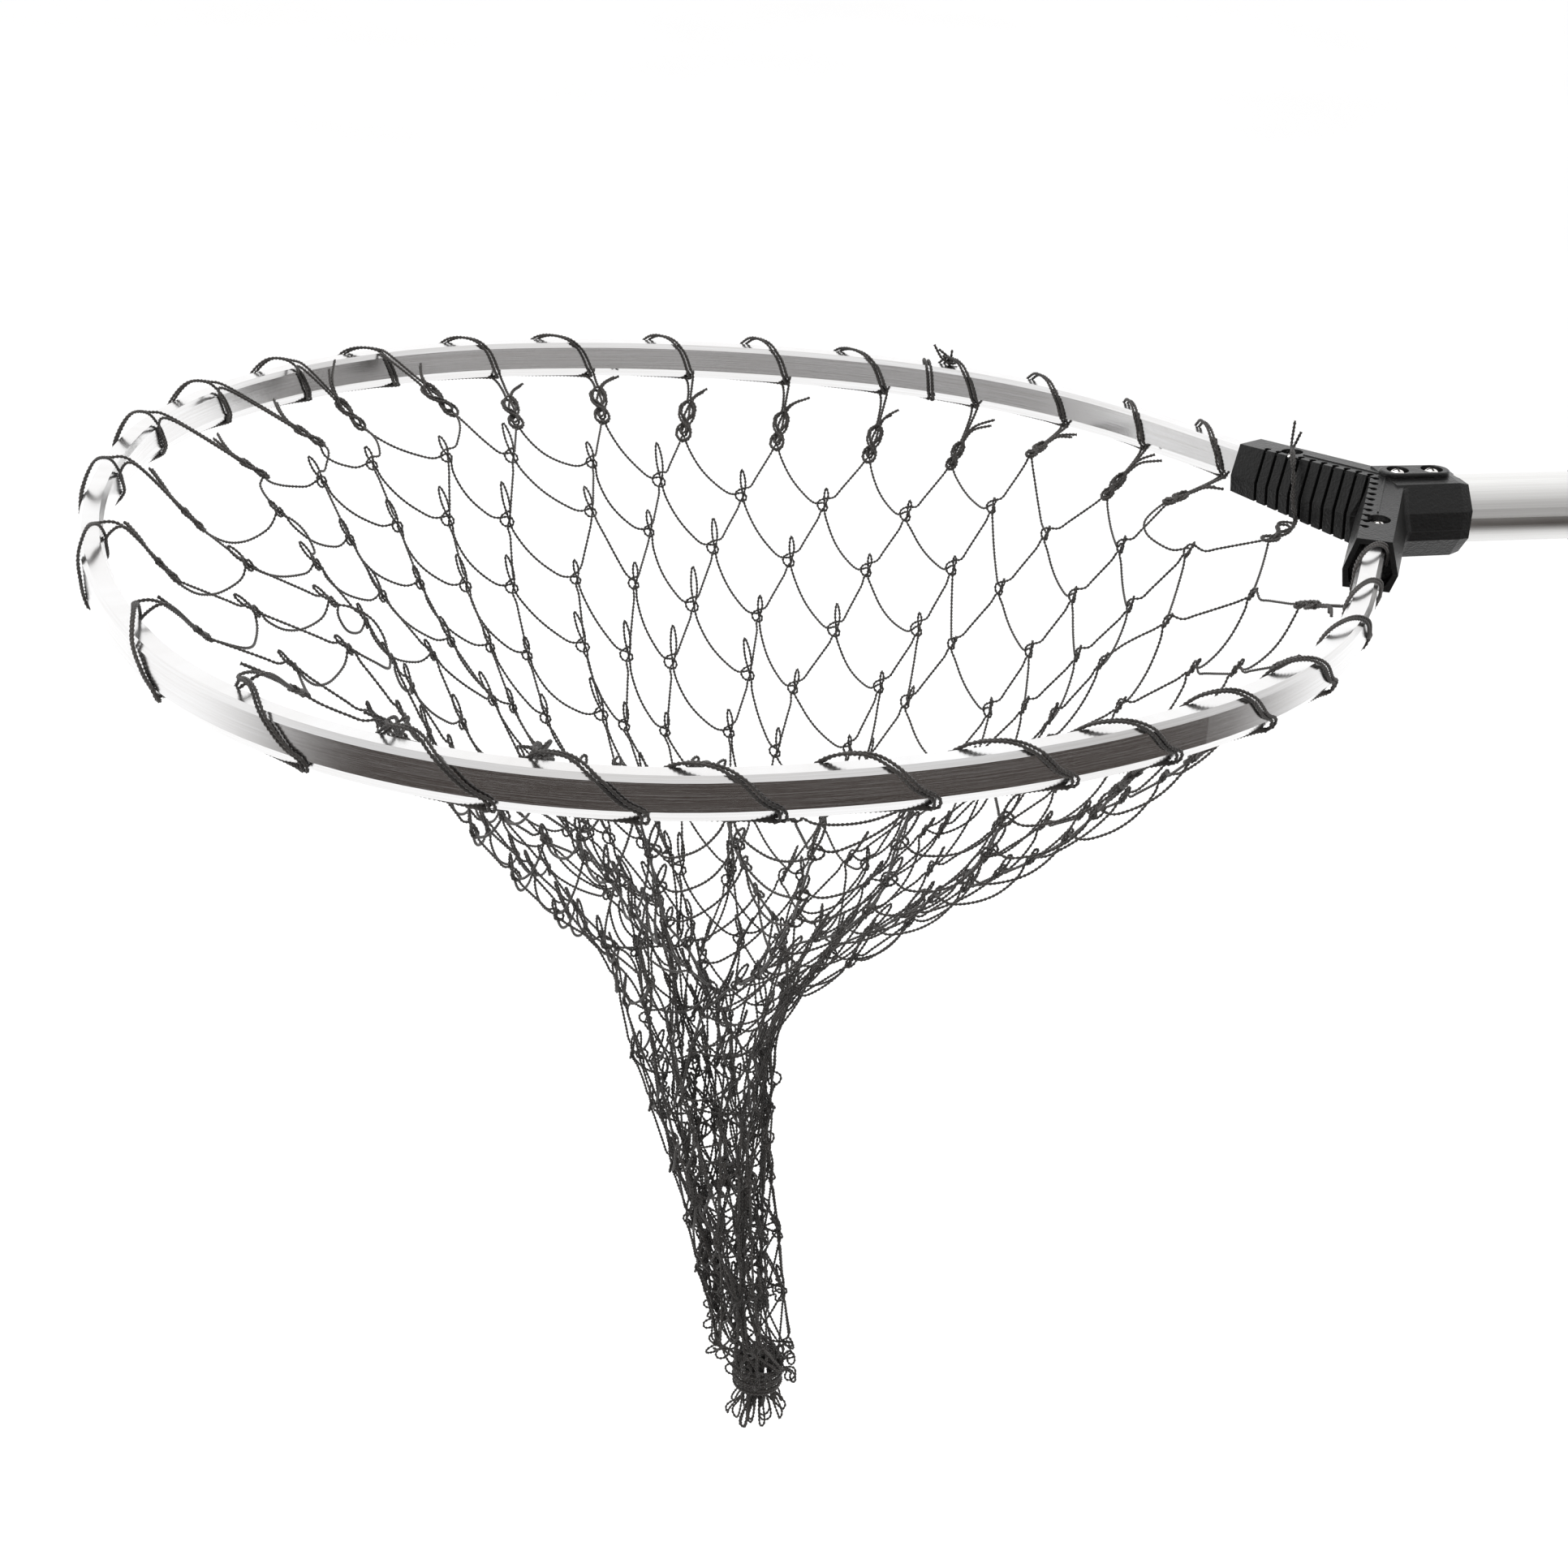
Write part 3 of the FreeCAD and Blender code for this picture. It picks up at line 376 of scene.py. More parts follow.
def lacing_places(hoop):
    """Distances along the hoop of the CAD lacing's loops."""
    mesh = frame["nodes"]["rim_lacing"].data
    points = np.array([v.co for v in mesh.vertices])
    places = np.sort(hoop.nearest(points))
    cuts = np.nonzero(np.diff(places) > 0.015)[0] + 1
    return np.array([part.mean() for part in np.split(places, cuts)])


# ---- hanging the net ----------------------------------------------------------------------------
class Netting:
    """Knots in rows round the bag. Knot (row, i) is joined to two knots of the row below, by a
    taut bar towards the front and by a slack bar the other way."""

    def __init__(self, hoop, places):
        self.random = np.random.default_rng(SEED)
        self.count = len(places) + 1
        place, _, outward = hoop.at(places)
        inner = place - outward * (hoop.half + 0.0013)
        rim = np.column_stack([inner, np.full(len(places), hoop.bottom)])
        screw_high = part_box("arm_screws")[1]
        arm = [(screw_high.x - SCREW_IN + ARM_TIE[0],
                screw_high.y - SCREW_IN + ARM_TIE[1], ARM_TIE[2])]
        self.anchors = np.concatenate([arm, rim])
        self.start()
        self.hang()

    def knot(self, row, i):
        return row * self.count + i % self.count

    def start(self):
        """First places: knots on a rough funnel, and straight bars between them."""
        rows, count, random = ROWS, self.count, self.random
        neck = np.array([-0.690, 0.0])
        knots = np.zeros((rows, count, 3))
        for row in range(rows):
            where = np.arange(count) + 0.5 * (row % 2)
            first = np.floor(where).astype(int) % count
            share = (where - np.floor(where))[:, None]
            above = self.anchors[first] * (1 - share) + self.anchors[(first + 1) % count] * share
            depth = 0.035 + 0.53 * row / (rows - 1)
            reach = max(0.10, 1 - depth / 0.24)
            knots[row, :, :2] = neck + (above[:, :2] - neck) * reach
            knots[row, :, 2] = -0.030 - 0.16 * min(1, depth / 0.26) - max(0, depth - 0.26) * 0.9
        knots = (knots + random.normal(0, 0.0015, knots.shape)).reshape(-1, 3)
        bars = []
        for row in range(rows - 1):
            for i in range(count):
                shift = row % 2
                bars.append((self.knot(row, i), self.knot(row + 1, i - 1 + shift), 0))
                bars.append((self.knot(row, i), self.knot(row + 1, i + shift), 1))
        bars = np.array(bars)
        self.family = bars[:, 2]
        number = len(bars)
        length = np.where(self.family == 1, TAUT_BAR, SLACK_BAR)
        self.rest = length * (1 + random.normal(0, BAR_SPREAD, number)) / (SUB_NODES + 1)
        share = (np.arange(1, SUB_NODES + 1) / (SUB_NODES + 1))[None, :, None]
        between = knots[bars[:, 0]][:, None] * (1 - share) + knots[bars[:, 1]][:, None] * share
        between += random.normal(0, 0.002, between.shape)
        self.knots = rows * count
        self.places = np.concatenate([knots, between.reshape(-1, 3)])
        self.chain = np.zeros((number, SUB_NODES + 2), int)
        self.chain[:, 0], self.chain[:, -1] = bars[:, 0], bars[:, 1]
        self.chain[:, 1:-1] = self.knots + np.arange(number * SUB_NODES).reshape(number, SUB_NODES)

    def links(self):
        """Groups of links in which no particle comes twice, so that each group moves at once."""
        chain, rest, last = self.chain, self.rest, SUB_NODES
        groups = []
        for first in (1, 2):
            for k in range(first, last, 2):
                groups.append((chain[:, k], chain[:, k + 1], rest))
        for k in (0, last):
            for family in (0, 1):
                chosen = self.family == family
                groups.append((chain[chosen, k], chain[chosen, k + 1], rest[chosen]))
        return groups

    def neighbours(self):
        """Pairs of neighbouring knots and the distance that they keep."""
        groups = []
        for first in (0, 1):
            row, i = np.meshgrid(np.arange(1, ROWS), np.arange(first, self.count, 2), indexing="ij")
            left = (row * self.count + i).ravel()
            right = (row * self.count + (i + 1) % self.count).ravel()
            gap = BUNCH_GAP * (0.6 + 0.8 * self.random.random(len(left)))
            groups.append((left, right, gap))
        return groups

    def hang(self):
        """Lets the particles fall under gravity, with stretch-free links. Gravity alone leaves a
        wide tube, so FULLNESS pulls the funnel outwards, HANG holds the netting in its hanging
        space, and nothing sinks past the tie."""
        random, count = self.random, self.count
        x = self.places
        speed = np.zeros_like(x)
        weight = np.ones(len(x))
        weight[:self.knots] = 0.5       # knots are heavier, so they move less
        drop = KNOT_DROP + random.uniform(-0.004, 0.006, count)
        drop[0] = YOKE_DROP
        pull = np.zeros_like(x)
        pull[:, 2] = -GRAVITY
        pull[:self.knots, :2] += random.normal(0, STRAY_PULL * GRAVITY, (self.knots, 2))
        wish = np.repeat(random.normal(0, STRAY_PULL * GRAVITY, (len(self.chain), 2)), SUB_NODES, axis=0)
        pull[self.knots:, :2] += wish
        room = np.clip(random.normal(0.92, 0.16, len(x)), 0.35, 1.2)
        groups, pairs = self.links(), self.neighbours()
        hang = np.array(HANG)[::-1]
        heights, push = np.array(FULLNESS).T
        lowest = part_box("net_tie")[1].z - 0.002
        inner, before, after = self.chain[:, 1:-1], self.chain[:, :-2], self.chain[:, 2:]
        for step in range(FREE_STEPS):
            speed *= KEPT_SPEED[step >= 0.75 * FREE_STEPS]
            speed += pull * TIME_STEP
            out = x[:, :2] - (hang[-1, 1], 0.0)
            out /= np.linalg.norm(out, axis=1)[:, None]
            lift = np.interp(x[:, 2], heights, push, left=0.0) * GRAVITY * TIME_STEP
            speed[:, :2] += out * lift[:, None]
            old = x.copy()
            x = x + speed * TIME_STEP
            for _ in range(PASSES):
                reach = x[:count] - self.anchors
                far = np.linalg.norm(reach, axis=1)
                x[:count] -= reach * (np.maximum(far - drop, 0) / np.maximum(far, 1e-9))[:, None]
                for a, b, rest in groups:
                    gap = x[b] - x[a]
                    far = np.sqrt((gap * gap).sum(1))
                    gap *= ((far - rest) / far / (weight[a] + weight[b]))[:, None]
                    x[a] += gap * weight[a][:, None]
                    x[b] -= gap * weight[b][:, None]
                for a, b, least in pairs:
                    gap = x[b] - x[a]
                    far = np.sqrt((gap * gap).sum(1)) + 1e-9
                    gap *= (np.minimum(far - least, 0) / far * BUNCH_PUSH)[:, None]
                    x[a] += gap
                    x[b] -= gap
            x[inner] += ((x[before] + x[after]) / 2 - x[inner]) * BAR_STIFFNESS
            out = x[:, :2] - np.stack([np.interp(x[:, 2], hang[:, 0], hang[:, 1]), 0 * x[:, 0]], 1)
            far = np.sqrt((out * out).sum(1)) + 1e-9
            limit = np.interp(x[:, 2], hang[:, 0], hang[:, 2]) * room
            x[:, :2] -= out * (np.maximum(far - limit, 0) / far * ROOM_PUSH)[:, None]
            x[:, 2] = np.maximum(x[:, 2], lowest)
            speed = (x - old) / TIME_STEP
            fast = np.sqrt((speed * speed).sum(1))
            speed *= np.minimum(1, MOST_SPEED / (fast + 1e-9))[:, None]
        self.places = x

    def grid(self):
        return self.places[:self.knots].reshape(ROWS, self.count, 3)

    def bar(self, row, i, family):
        """Points of a bar, from its upper knot down to its lower knot."""
        index = 2 * (row * self.count + i % self.count) + family
        return self.places[self.chain[index]]


# ---- twine as meshes ----------------------------------------------------------------------------
def smooth_line(points, step):
    """Points at even steps on a smooth line through some points."""
    p = np.asarray(points, float)
    p = np.concatenate([[2 * p[0] - p[1]], p, [2 * p[-1] - p[-2]]])
    t = np.linspace(0, 1, 9)[:-1, None, None]
    a, b, c, d = p[:-3], p[1:-2], p[2:-1], p[3:]
    curve = 0.5 * (2 * b + (c - a) * t + (2 * a - 5 * b + 4 * c - d) * t ** 2
                   + (3 * b - a - 3 * c + d) * t ** 3)
    line = np.concatenate([curve.transpose(1, 0, 2).reshape(-1, 3), p[-2:-1]])
    for _ in range(3):
        line[1:-1] = (line[:-2] + 2 * line[1:-1] + line[2:]) / 4
    far = np.concatenate([[0.0], np.cumsum(np.linalg.norm(np.diff(line, axis=0), axis=1))])
    even = np.linspace(0, far[-1], max(3, int(far[-1] / step)))
    return np.stack([np.interp(even, far, line[:, k]) for k in range(3)], 1)


def carried_sides(line):
    """A direction square to the line at each point, carried along it without twisting."""
    ahead = np.gradient(line, axis=0)
    ahead /= np.linalg.norm(ahead, axis=1)[:, None]
    side = np.cross(ahead[0], (0.3, 0.5, 0.81))
    sides = np.empty_like(line)
    for k, direction in enumerate(ahead):
        side = side - direction * (side @ direction)
        side = side / math.sqrt(side @ side)
        sides[k] = side
    return sides, np.cross(ahead, sides)


# distance of the twine's outline from its middle at even angles: long across the two plies
PLY_SECTION = np.array([1.2, 0.72, 0.72, 1.2, 0.72, 0.72])


def twisted_tube(points, radius, start_turn=0.0):
    """Vertices and quads of two-ply twine along a smooth line through some points."""
    line = smooth_line(points, TWINE_STEP)
    right, up = carried_sides(line)
    number, sides = len(line), len(PLY_SECTION)
    far = np.arange(number) * np.linalg.norm(line[1] - line[0])
    turn = start_turn + 2 * math.pi * far[:, None] / TWINE_PITCH
    angle = turn + 2 * math.pi * np.arange(sides)[None] / sides
    size = radius * PLY_SECTION[None]
    rings = (line[:, None] + right[:, None] * (np.cos(angle) * size)[..., None]
             + up[:, None] * (np.sin(angle) * size)[..., None])
    first = np.arange(number - 1)[:, None] * sides + np.arange(sides)[None]
    second = np.arange(number - 1)[:, None] * sides + (np.arange(sides)[None] + 1) % sides
    quads = np.stack([first, second, second + sides, first + sides], -1).reshape(-1, 4)
    return rings.reshape(-1, 3), quads, number


def twine_piece(name, strands, radius, material):
    """One object of several strands of twine, which rides on the head."""
    vertices, quads, caps, base = [], [], [], 0
    sides = len(PLY_SECTION)
    for k, points in enumerate(strands):
        ring_points, faces, rings = twisted_tube(points, radius, 0.7 * k)
        vertices.append(ring_points)
        quads.append(faces + base)
        caps.append(np.arange(sides)[::-1] + base)
        caps.append(np.arange(sides) + base + (rings - 1) * sides)
        base += len(ring_points)
    vertices, quads, caps = np.concatenate(vertices), np.concatenate(quads), np.array(caps)
    mesh = bpy.data.meshes.new(name)
    mesh.vertices.add(len(vertices))
    mesh.vertices.foreach_set("co", vertices.astype(np.float32).ravel())
    corners = np.concatenate([quads.ravel(), caps.ravel()])
    mesh.loops.add(len(corners))
    mesh.loops.foreach_set("vertex_index", corners.astype(np.int32))
    starts = np.concatenate([np.arange(len(quads)) * 4,
                             len(quads) * 4 + np.arange(len(caps)) * sides])
    mesh.polygons.add(len(starts))
    mesh.polygons.foreach_set("loop_start", starts.astype(np.int32))
    mesh.update(calc_edges=True)
    mesh.validate()
    mesh.polygons.foreach_set("use_smooth", np.ones(len(mesh.polygons), bool))
    mesh.materials.append(material)
    piece = bpy.data.objects.new(name, mesh)
    bpy.context.scene.collection.objects.link(piece)
    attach(piece, "head")
    return piece


# the two strands of a netting knot, as (across, up, forward) in millimetres: the upper strand is
# the loop that hangs from the row above, and the lower strand is tied round it with a teardrop
UPPER_STRAND = (
    (1.2, 5.0, 0.5), (-1.9, 4.2, 0.3), (-3.2, 2.6, -0.2), (-2.4, 0.2, -0.5),
    (-0.2, -0.9, -0.4), (1.4, -0.4, 0.3), (1.6, 1.4, 0.7), (0.0, 3.0, 0.7),
)
LOWER_STRAND = (
    (0.3, -1.0, 0.6), (0.3, 3.0, -0.3), (0.0, 7.5, -0.6), (0.3, 11.5, -0.4),
    (0.9, 14.4, 0.0), (1.5, 14.0, 0.5), (2.1, 10.0, 0.6), (1.9, 6.0, 0.4), (1.0, 3.0, 0.2),
    (0.4, 1.0, -0.7), (-1.2, -0.9, 0.6),
)
KNOT_TAUT_CLEAR = 0.0072    # how near to a knot below it a taut bar keeps its own line
KNOT_SLACK_CLEAR = 0.0065
LOOP_HEIGHTS = (-0.86, -0.76, -0.66, -0.57), (0.60, 0.95, 1.0, 0.28)
KNOT_LOWER_CLEAR = 0.0050   # how near to the knot above it any bar does


def knot_frames(netting):
    """Across, up and forward directions of each knot; forward looks into the bag."""
    grid = netting.grid()
    above = np.empty_like(grid)
    above[0] = netting.anchors
    for row in range(1, ROWS):
        shift = (row - 1) % 2
        # the two upper neighbours of knot j are j - shift and j - shift + 1
        above[row] = (np.roll(grid[row - 1], shift, 0) + np.roll(grid[row - 1], shift - 1, 0)) / 2
    up = above - grid
    up /= np.linalg.norm(up, axis=2, keepdims=True) + 1e-9
    up[..., 2] += KNOT_UPRIGHT
    up /= np.linalg.norm(up, axis=2, keepdims=True)
    across = np.roll(grid, 1, 1) - np.roll(grid, -1, 1)
    across -= up * (across * up).sum(2, keepdims=True)
    across /= np.linalg.norm(across, axis=2, keepdims=True) + 1e-9
    return across, up, np.cross(across, up)


def local_path(shape, centre, across, up, forward, scale=1.0):
    s = np.array(shape) * 0.001 * scale
    return centre + s[:, :1] * across + s[:, 1:2] * up + s[:, 2:] * forward


def trimmed(bar, near_upper, near_lower, sag):
    """The middle of a bar as a smooth arc, clear of its two knots."""
    first, last = bar[0], bar[-1]
    middle = (first + last) / 2
    ahead = (last - first) / np.linalg.norm(last - first)
    down = np.array([0.0, 0.0, -1.0])
    down = (down - ahead * (ahead @ down)) * sag * np.linalg.norm(last - first) / 0.75
    one, two = (point + down for point in bar[1:3])
    t = np.linspace(0, 1, 41)[:, None]
    line = ((1 - t) ** 3 * first + 3 * (1 - t) ** 2 * t * one + 3 * (1 - t) * t ** 2 * two
            + t ** 3 * last)
    keep = np.linalg.norm(line - first, axis=1) > near_upper
    keep &= np.linalg.norm(line - last, axis=1) > near_lower
    line = line[keep]
    if len(line) < 3:
        return middle[None]
    return line[np.linspace(0, len(line) - 1, 5).round().astype(int)]


def row_string(netting, frames, sizes, row):
    """One length of twine right round the bag: down to each knot of the row below and back up."""
    across, up, forward = frames
    grid = netting.grid()
    # the knots towards the yoke are drawn tight, with hardly a loop above them
    loops = np.interp(grid[row, :, 0], *LOOP_HEIGHTS) * (1.8 * sizes[row] - 0.8)
    shift = row % 2
    path = []
    for i in range(netting.count):
        if row > 0:
            shape = np.array(LOWER_STRAND)
            shape[:, 1] += np.maximum(shape[:, 1] - 3, 0) * (loops[i] - 1)
            path.append(local_path(shape, grid[row, i], across[row, i], up[row, i],
                                   forward[row, i], sizes[row, i]))
        else:
            path.append(grid[row, i][None])
        down = netting.bar(row, i, 1)
        path.append(trimmed(down, KNOT_LOWER_CLEAR, KNOT_TAUT_CLEAR, 0.0))
        j = (i + shift) % netting.count
        path.append(local_path(UPPER_STRAND, grid[row + 1, j], across[row + 1, j],
                               up[row + 1, j], forward[row + 1, j], sizes[row + 1, j]))
        rise = netting.bar(row, (i + 1) % netting.count, 0)
        sag = SLACK_SAG * sizes[row, i] ** 3
        path.append(trimmed(rise, KNOT_LOWER_CLEAR, KNOT_SLACK_CLEAR, sag)[::-1])
    path.append(path[0][:1])
    return np.concatenate(path)


# the doubled knot of the lacing: (across, up, forward) in millimetres, from the hoop down and back
RIM_KNOT = (
    (0.6, 20.0, 0.6), (2.6, 15.5, 0.6), (3.6, 11.0, -0.3), (1.6, 6.5, -0.9), (-2.4, 3.2, -0.3),
    (-3.2, -0.6, 0.6), (-0.4, -3.2, 0.9), (2.6, -1.2, 0.4), (3.2, 3.0, -0.4), (0.6, 7.5, 1.0),
    (-3.0, 11.5, 1.0), (-3.6, 15.5, 0.2), (-1.0, 18.6, -0.8), (2.0, 16.5, -1.0), (2.5, 11.5, 0.2),
    (-0.4, 5.6, -0.3), (-0.9, 1.4, -1.0), (1.0, 0.2, -0.7), (1.7, 4.4, 0.8), (-1.1, 9.5, -0.2),
)


def rim_wind(hoop, distance, shift, rise, slack):
    """Turns of twine round the hoop that lean along it over the top, from the inside outwards."""
    half, top, bottom = hoop.half, hoop.top, hoop.bottom
    # outward, height and share of the shift at each corner of the winding; slack turns leave
    # the hoop at its upper edge
    corners = [(-half * 0.75, bottom + 0.0010, 0.00), (-half - 0.0006, bottom + 0.0045, 0.04),
               (-half - 0.0005, 0.0010, 0.09), (-half - 0.0004, top - 0.0020, 0.17),
               (-half * 0.55, top + rise * 0.75, 0.31), (half * 0.35, top + rise, 0.52),
               (half + 0.0008, top - 0.0010, 0.68), (half + 0.0008, -0.0010, 0.84),
               (half + 0.0005, bottom + 0.0040, 0.96), (half * 0.80, bottom - 0.0002, 0.97),
               (half * 0.35, bottom - 0.0004, 0.86), (-half * 0.10, bottom - 0.0002, 0.34),
               (-half * 0.50, bottom - 0.0004, 0.04)]
    parts = [corners] * 2
    if slack > 0:
        launch = (-half * 2.4, top + rise * 0.55, 0.28)
        parts = [[launch] + corners[4:], corners, corners[:4] + [launch]]
    path = []
    for turn, part in enumerate(parts):
        for outward, z, share in part:
            place, _, out = hoop.at(distance + shift * share + TURN_STEP * turn)
            x, y = place + out * (outward * (1 + 0.05 * turn))
            path.append((x, y, z + 0.0003 * turn))
    return np.array(path)


def knot_directions(knot, above, along):
    up = above - knot
    up /= np.linalg.norm(up)
    across = -along - up * (-along @ up)
    across /= np.linalg.norm(across)
    return across, up, np.cross(across, up)


def cut_tail(knot, sides, random, side):
    """A cut end that stands up beside the lacing, from its tip to the knot."""
    across, up, forward = sides
    long = random.uniform(0.009, 0.017)
    lean = random.uniform(0.35, 0.8)
    root = knot + up * TAIL_ROOT + across * 0.0010 * side
    middle = root + up * long * 0.5 + across * long * (0.3 * lean) + forward * 0.0008
    tip = root + up * long * 0.92 + across * long * lean + across * 0.0012 * side
    return np.array([tip, middle, root])


def rim_loop(hoop, distance, knot, random):
    """Twine wound twice round the hoop and knotted below it, with two cut tails."""
    place, along, _ = hoop.at(distance)
    # the lacing round the front of the hoop is the slackest
    slack = max(0.0, (hoop.centre.x - place[0]) / hoop.reach - 0.45) * 2.0
    shift = random.uniform(0.030, 0.040) + 0.012 * slack
    shift += np.interp(place[1], *NEAR_SIDE_LEAN)
    wind = rim_wind(hoop, distance, shift, random.uniform(0.0022, 0.0040) + 0.004 * slack,
                    slack)
    sides = knot_directions(knot, wind[0], np.append(along, 0.0))
    size = random.uniform(0.85, 1.05) * (1 - 0.4 * min(1.0, slack))
    size *= np.interp(knot[0], *YOKE_KNOT_SIZE)
    low = local_path(RIM_KNOT, knot, *sides, size)
    back = local_path(RIM_KNOT, knot + sides[2] * 0.0004, -sides[0], sides[1], -sides[2], size)
    first = cut_tail(knot, sides, random, 0)
    second = cut_tail(knot, sides, random, 1)
    return np.concatenate([first, low[::-1], wind, back, second[::-1]])


def top_tie(hoop, distance, random):
    """A second tie that stands on the hoop, with frayed ends."""
    place, along, outward = hoop.at(distance + TOP_TIE_ALONG)
    knot = np.append(place + outward * hoop.half * 0.5, hoop.top + 0.0012)
    sides = np.append(along, 0.0), np.array([0.0, 0.0, 1.0]), np.append(outward, 0.0)
    strands = [local_path(RIM_KNOT[5:], knot, sides[0], sides[2], sides[1],
                          TOP_TIE_SIZE)]
    for _ in range(FRAYED_ENDS):
        lean = np.append(along * random.uniform(-1.0, 1.0) + outward * random.uniform(-0.3, 0.6), 0.0)
        reach = random.uniform(0.006, 0.013)
        rise = np.array([0.0, 0.0, random.uniform(0.3, 0.8)])
        bend = random.normal(0, 0.0008, 3)
        strands.append(np.array([knot, knot + (lean + rise * 0.4) * reach * 0.5 + bend,
                                 knot + (lean + rise) * reach]))
    return strands


def yoke_tie(knot):
    """Two strands laid down the ribs of the far arm to the first knot, from ends over its screw."""
    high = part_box("arm_screws")[1]
    top = Vector((high.x - SCREW_IN, high.y - SCREW_IN, high.z))
    along = Vector(ARM_LINE)
    inward = Vector((-along.y, along.x, 0.0))
    strands = []
    for side in (-1, 1):
        path = [top + along * 0.002 * side + Vector((0, 0, 0.012 + 0.002 * side)) - inward * 0.002]
        for inwards, lean, z, twist in YOKE_ROUTE:
            apart = 0.0007 * side * twist
            path.append(top + inward * inwards + Vector((0, 0, z)) + along * (apart - lean))
        strands.append(np.array([list(point) for point in path]))
    sides = knot_directions(knot, strands[0][-1], np.array(along))
    return [np.concatenate([strand, local_path(RIM_KNOT[2:], knot, *sides, size)])
            for strand, size in zip(strands, (1.0, 0.85))]


def lace_rim(hoop, places, netting, material):
    """The lacing in three pieces: towards the yoke, round the front and back along the near side."""
    random = np.random.default_rng(SEED + 1)
    first = netting.grid()[0]
    loops = [rim_loop(hoop, distance, first[k + 1], random) for k, distance in enumerate(places)]
    loose_turn = (places[TOP_TIE] + places[TOP_TIE + 1]) / 2
    extras = yoke_tie(first[0]) + top_tie(hoop, places[TOP_TIE], random)
    extras.append(rim_wind(hoop, loose_turn, shift=0.010, rise=0.0010, slack=0))
    third = len(loops) // 3
    for name, strands in (("far", loops[:third] + extras), ("front", loops[third:2 * third]),
                          ("near", loops[2 * third:])):
        piece = twine_piece("rim_lacing_" + name, strands, LACING_R, material)
        if name == "far":
            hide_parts("rim_lacing")


def knot_netting(netting, material):
    frames = knot_frames(netting)
    random = np.random.default_rng(SEED + 2)
    sizes = random.uniform(0.85, 1.15, (ROWS, netting.count))
    for row in range(ROWS - 1):
        strand = row_string(netting, frames, sizes, row)
        piece = twine_piece("netting_row_%02d" % (row + 1), [strand], TWINE_R, material)
        if row == 0:
            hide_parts("net_bag", "net_column")


def bind_end(netting, material):
    """The tie wound round the gathered end, and the ends of the netting below it."""
    low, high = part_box("net_tie")
    centre = np.array([(low.x + high.x) / 2, 0.0])
    points = []
    for k in range(END_TURNS * 12 + 1):
        angle = 2 * math.pi * k / 12
        radius = (high.x - low.x) / 2 - 0.0008 + 0.0004 * math.sin(0.7 * k)
        z = high.z - (high.z - low.z) * k / (END_TURNS * 12)
        points.append((*(centre + radius * np.array([math.cos(angle), math.sin(angle)])), z))
    piece = twine_piece("end_tie_twine", [np.array(points)], LACING_R * 1.2, material)
    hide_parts("net_tie")
    tail_low, tail_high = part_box("net_tail")
    random = np.random.default_rng(SEED + 3)
    strands = []
    for _ in range(END_STRANDS):
        angle = random.uniform(0, 2 * math.pi)
        out = np.array([math.cos(angle), math.sin(angle)])
        inner, outer = random.uniform(0.001, 0.009), random.uniform(0.004, 0.015)
        end = tail_low.z + random.uniform(0.0, 0.010)
        side = np.array([-out[1], out[0]]) * random.uniform(0.002, 0.006)
        levels = [(high.z + 0.004, inner * out), ((low.z + high.z) / 2, inner * out * 0.9),
                  (tail_high.z - 0.004, inner * out + 0.3 * side), (end + 0.003, outer * out),
                  (end, outer * out + side * 0.5), (end + 0.004, outer * out + side),
                  (low.z, inner * out + side * 0.4), (high.z + 0.004, inner * out * 0.7)]
        strands.append(np.array([(*(centre + shift), z) for z, shift in levels]))
    piece = twine_piece("net_end_twine", strands, TWINE_R, material)
    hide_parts("net_tail")


# ---- stage --------------------------------------------------------------------------------------
def build_stage():
    mesh = bpy.data.meshes.new("floor")
    wide, z = 30.0, CAD_BOX[0][2] - 0.35
    mesh.from_pydata([(-wide, -wide, z), (wide, -wide, z), (wide, wide, z), (-wide, wide, z)], [],
                     [(0, 1, 2, 3)])
    floor = bpy.data.objects.new("floor", mesh)
    bpy.context.scene.collection.objects.link(floor)
    m = Nodes("pale_floor")
    tone = m.noise(m.place(), 1.5, 2.0)
    m.link(m.ramp(tone, [(0.3, grey(0.955)), (0.7, grey(0.975))]), m.shader.inputs["Base Color"])
    m.set(Roughness=0.9)
    mesh.materials.append(m.material)
    floor.visible_glossy = False


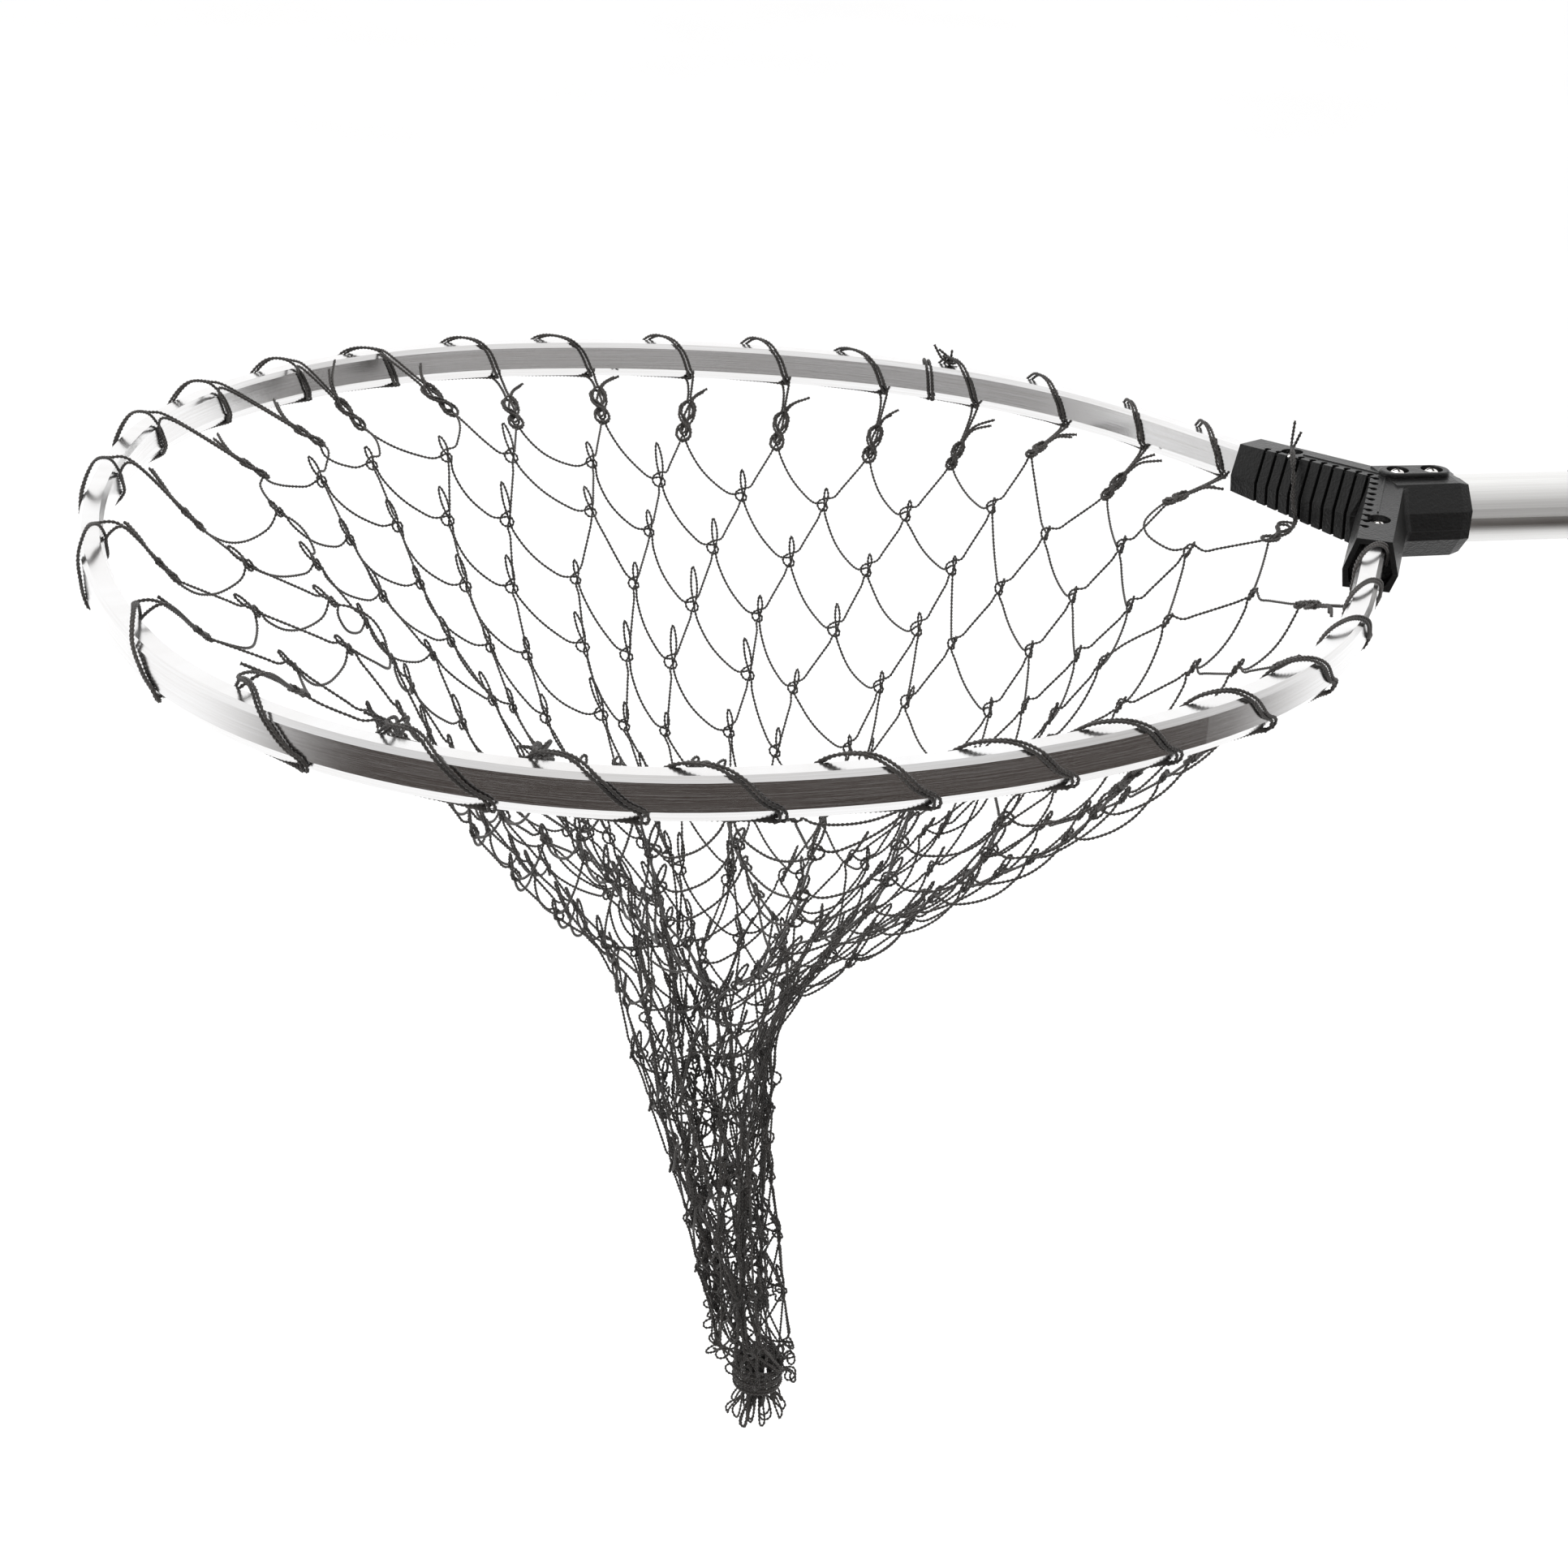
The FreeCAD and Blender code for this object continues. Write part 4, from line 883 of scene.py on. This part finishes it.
def build_world():
    """White all round, with the dark of the room beyond the camera seen only in reflections."""
    world = bpy.data.worlds.new("studio")
    bpy.context.scene.world = world
    world.use_nodes = True
    tree = world.node_tree
    tree.nodes.clear()
    link, new = tree.links.new, tree.nodes.new
    coordinates = new("ShaderNodeTexCoord")
    towards = new("ShaderNodeVectorMath")
    towards.operation = "DOT_PRODUCT"
    link(coordinates.outputs["Generated"], towards.inputs[0])
    towards.inputs[1].default_value = (0.0, -1.0, 0.0)
    edge = new("ShaderNodeMapRange")
    edge.interpolation_type = "SMOOTHSTEP"
    edge.inputs["From Min"].default_value = ROOM_EDGE[0]
    edge.inputs["From Max"].default_value = ROOM_EDGE[1]
    link(towards.outputs["Value"], edge.inputs["Value"])
    split = new("ShaderNodeSeparateXYZ")
    link(coordinates.outputs["Generated"], split.inputs[0])
    height = new("ShaderNodeMapRange")
    height.inputs["From Min"].default_value = -1.0
    link(split.outputs["Z"], height.inputs["Value"])
    dark = new("ShaderNodeValToRGB")
    stops = dark.color_ramp.elements
    while len(stops) < len(ROOM_LEVELS):
        stops.new(0.5)
    for stop, (place, value) in zip(stops, ROOM_LEVELS):
        stop.position = place
        stop.color = (value, value, value, 1.0)
    link(height.outputs["Result"], dark.inputs["Fac"])
    both = new("ShaderNodeMath")
    both.operation = "MULTIPLY"
    link(edge.outputs["Result"], both.inputs[0])
    link(dark.outputs["Color"], both.inputs[1])
    mix = new("ShaderNodeMix")
    mix.data_type = "RGBA"
    mix.inputs["A"].default_value = (SURROUND, SURROUND, SURROUND, 1.0)
    mix.inputs["B"].default_value = ROOM_COLOUR
    link(both.outputs["Value"], mix.inputs["Factor"])
    seen = new("ShaderNodeLightPath")
    plain = new("ShaderNodeMix")
    plain.data_type = "RGBA"
    plain.inputs["B"].default_value = (BACKDROP, BACKDROP, BACKDROP, 1.0)
    link(mix.outputs["Result"], plain.inputs["A"])
    link(seen.outputs["Is Camera Ray"], plain.inputs["Factor"])
    light = new("ShaderNodeBackground")
    light.inputs["Strength"].default_value = WORLD_STRENGTH
    link(plain.outputs["Result"], light.inputs["Color"])
    link(light.outputs[0], new("ShaderNodeOutputWorld").inputs["Surface"])


def add_softbox(name, place, target, size, energy):
    lamp = bpy.data.lights.new(name, "AREA")
    lamp.shape = "RECTANGLE"
    lamp.size, lamp.size_y = size
    lamp.energy = energy
    softbox = bpy.data.objects.new(name, lamp)
    softbox.location = place
    aim = Vector(target) - Vector(place)
    softbox.rotation_euler = aim.to_track_quat("-Z", "Y").to_euler()
    bpy.context.scene.collection.objects.link(softbox)


def add_camera():
    lens = bpy.data.cameras.new("view")
    lens.lens = CAMERA_LENS
    lens.sensor_width = SENSOR
    camera = bpy.data.objects.new("view", lens)
    level = Vector((math.cos(CAMERA_TURN), math.sin(CAMERA_TURN), 0))
    ahead = Vector((-math.sin(CAMERA_TURN) * math.cos(CAMERA_DIP),
                    math.cos(CAMERA_TURN) * math.cos(CAMERA_DIP), -math.sin(CAMERA_DIP)))
    up = level.cross(ahead)
    right = level * math.cos(CAMERA_ROLL) + up * math.sin(CAMERA_ROLL)
    up = up * math.cos(CAMERA_ROLL) - level * math.sin(CAMERA_ROLL)
    turn = Matrix((right, up, -ahead)).transposed().to_4x4()
    camera.matrix_world = Matrix.Translation(CAMERA_AT) @ turn
    bpy.context.scene.collection.objects.link(camera)
    bpy.context.scene.camera = camera
    bpy.context.scene.view_settings.view_transform = "Standard"


def main():
    add_camera()
    build_world()
    build_stage()
    add_softbox("key", (-0.9, 0.6, 1.9), (-0.6, 0.0, 0.0), (1.6, 1.2), 14.0)
    looks = dress_cad_nodes()
    hoop = HoopLine()
    places = lacing_places(hoop)
    netting = Netting(hoop, places)
    knot_netting(netting, looks["twine"])
    lace_rim(hoop, places, netting, looks["twine"])
    bind_end(netting, looks["twine"])


main()
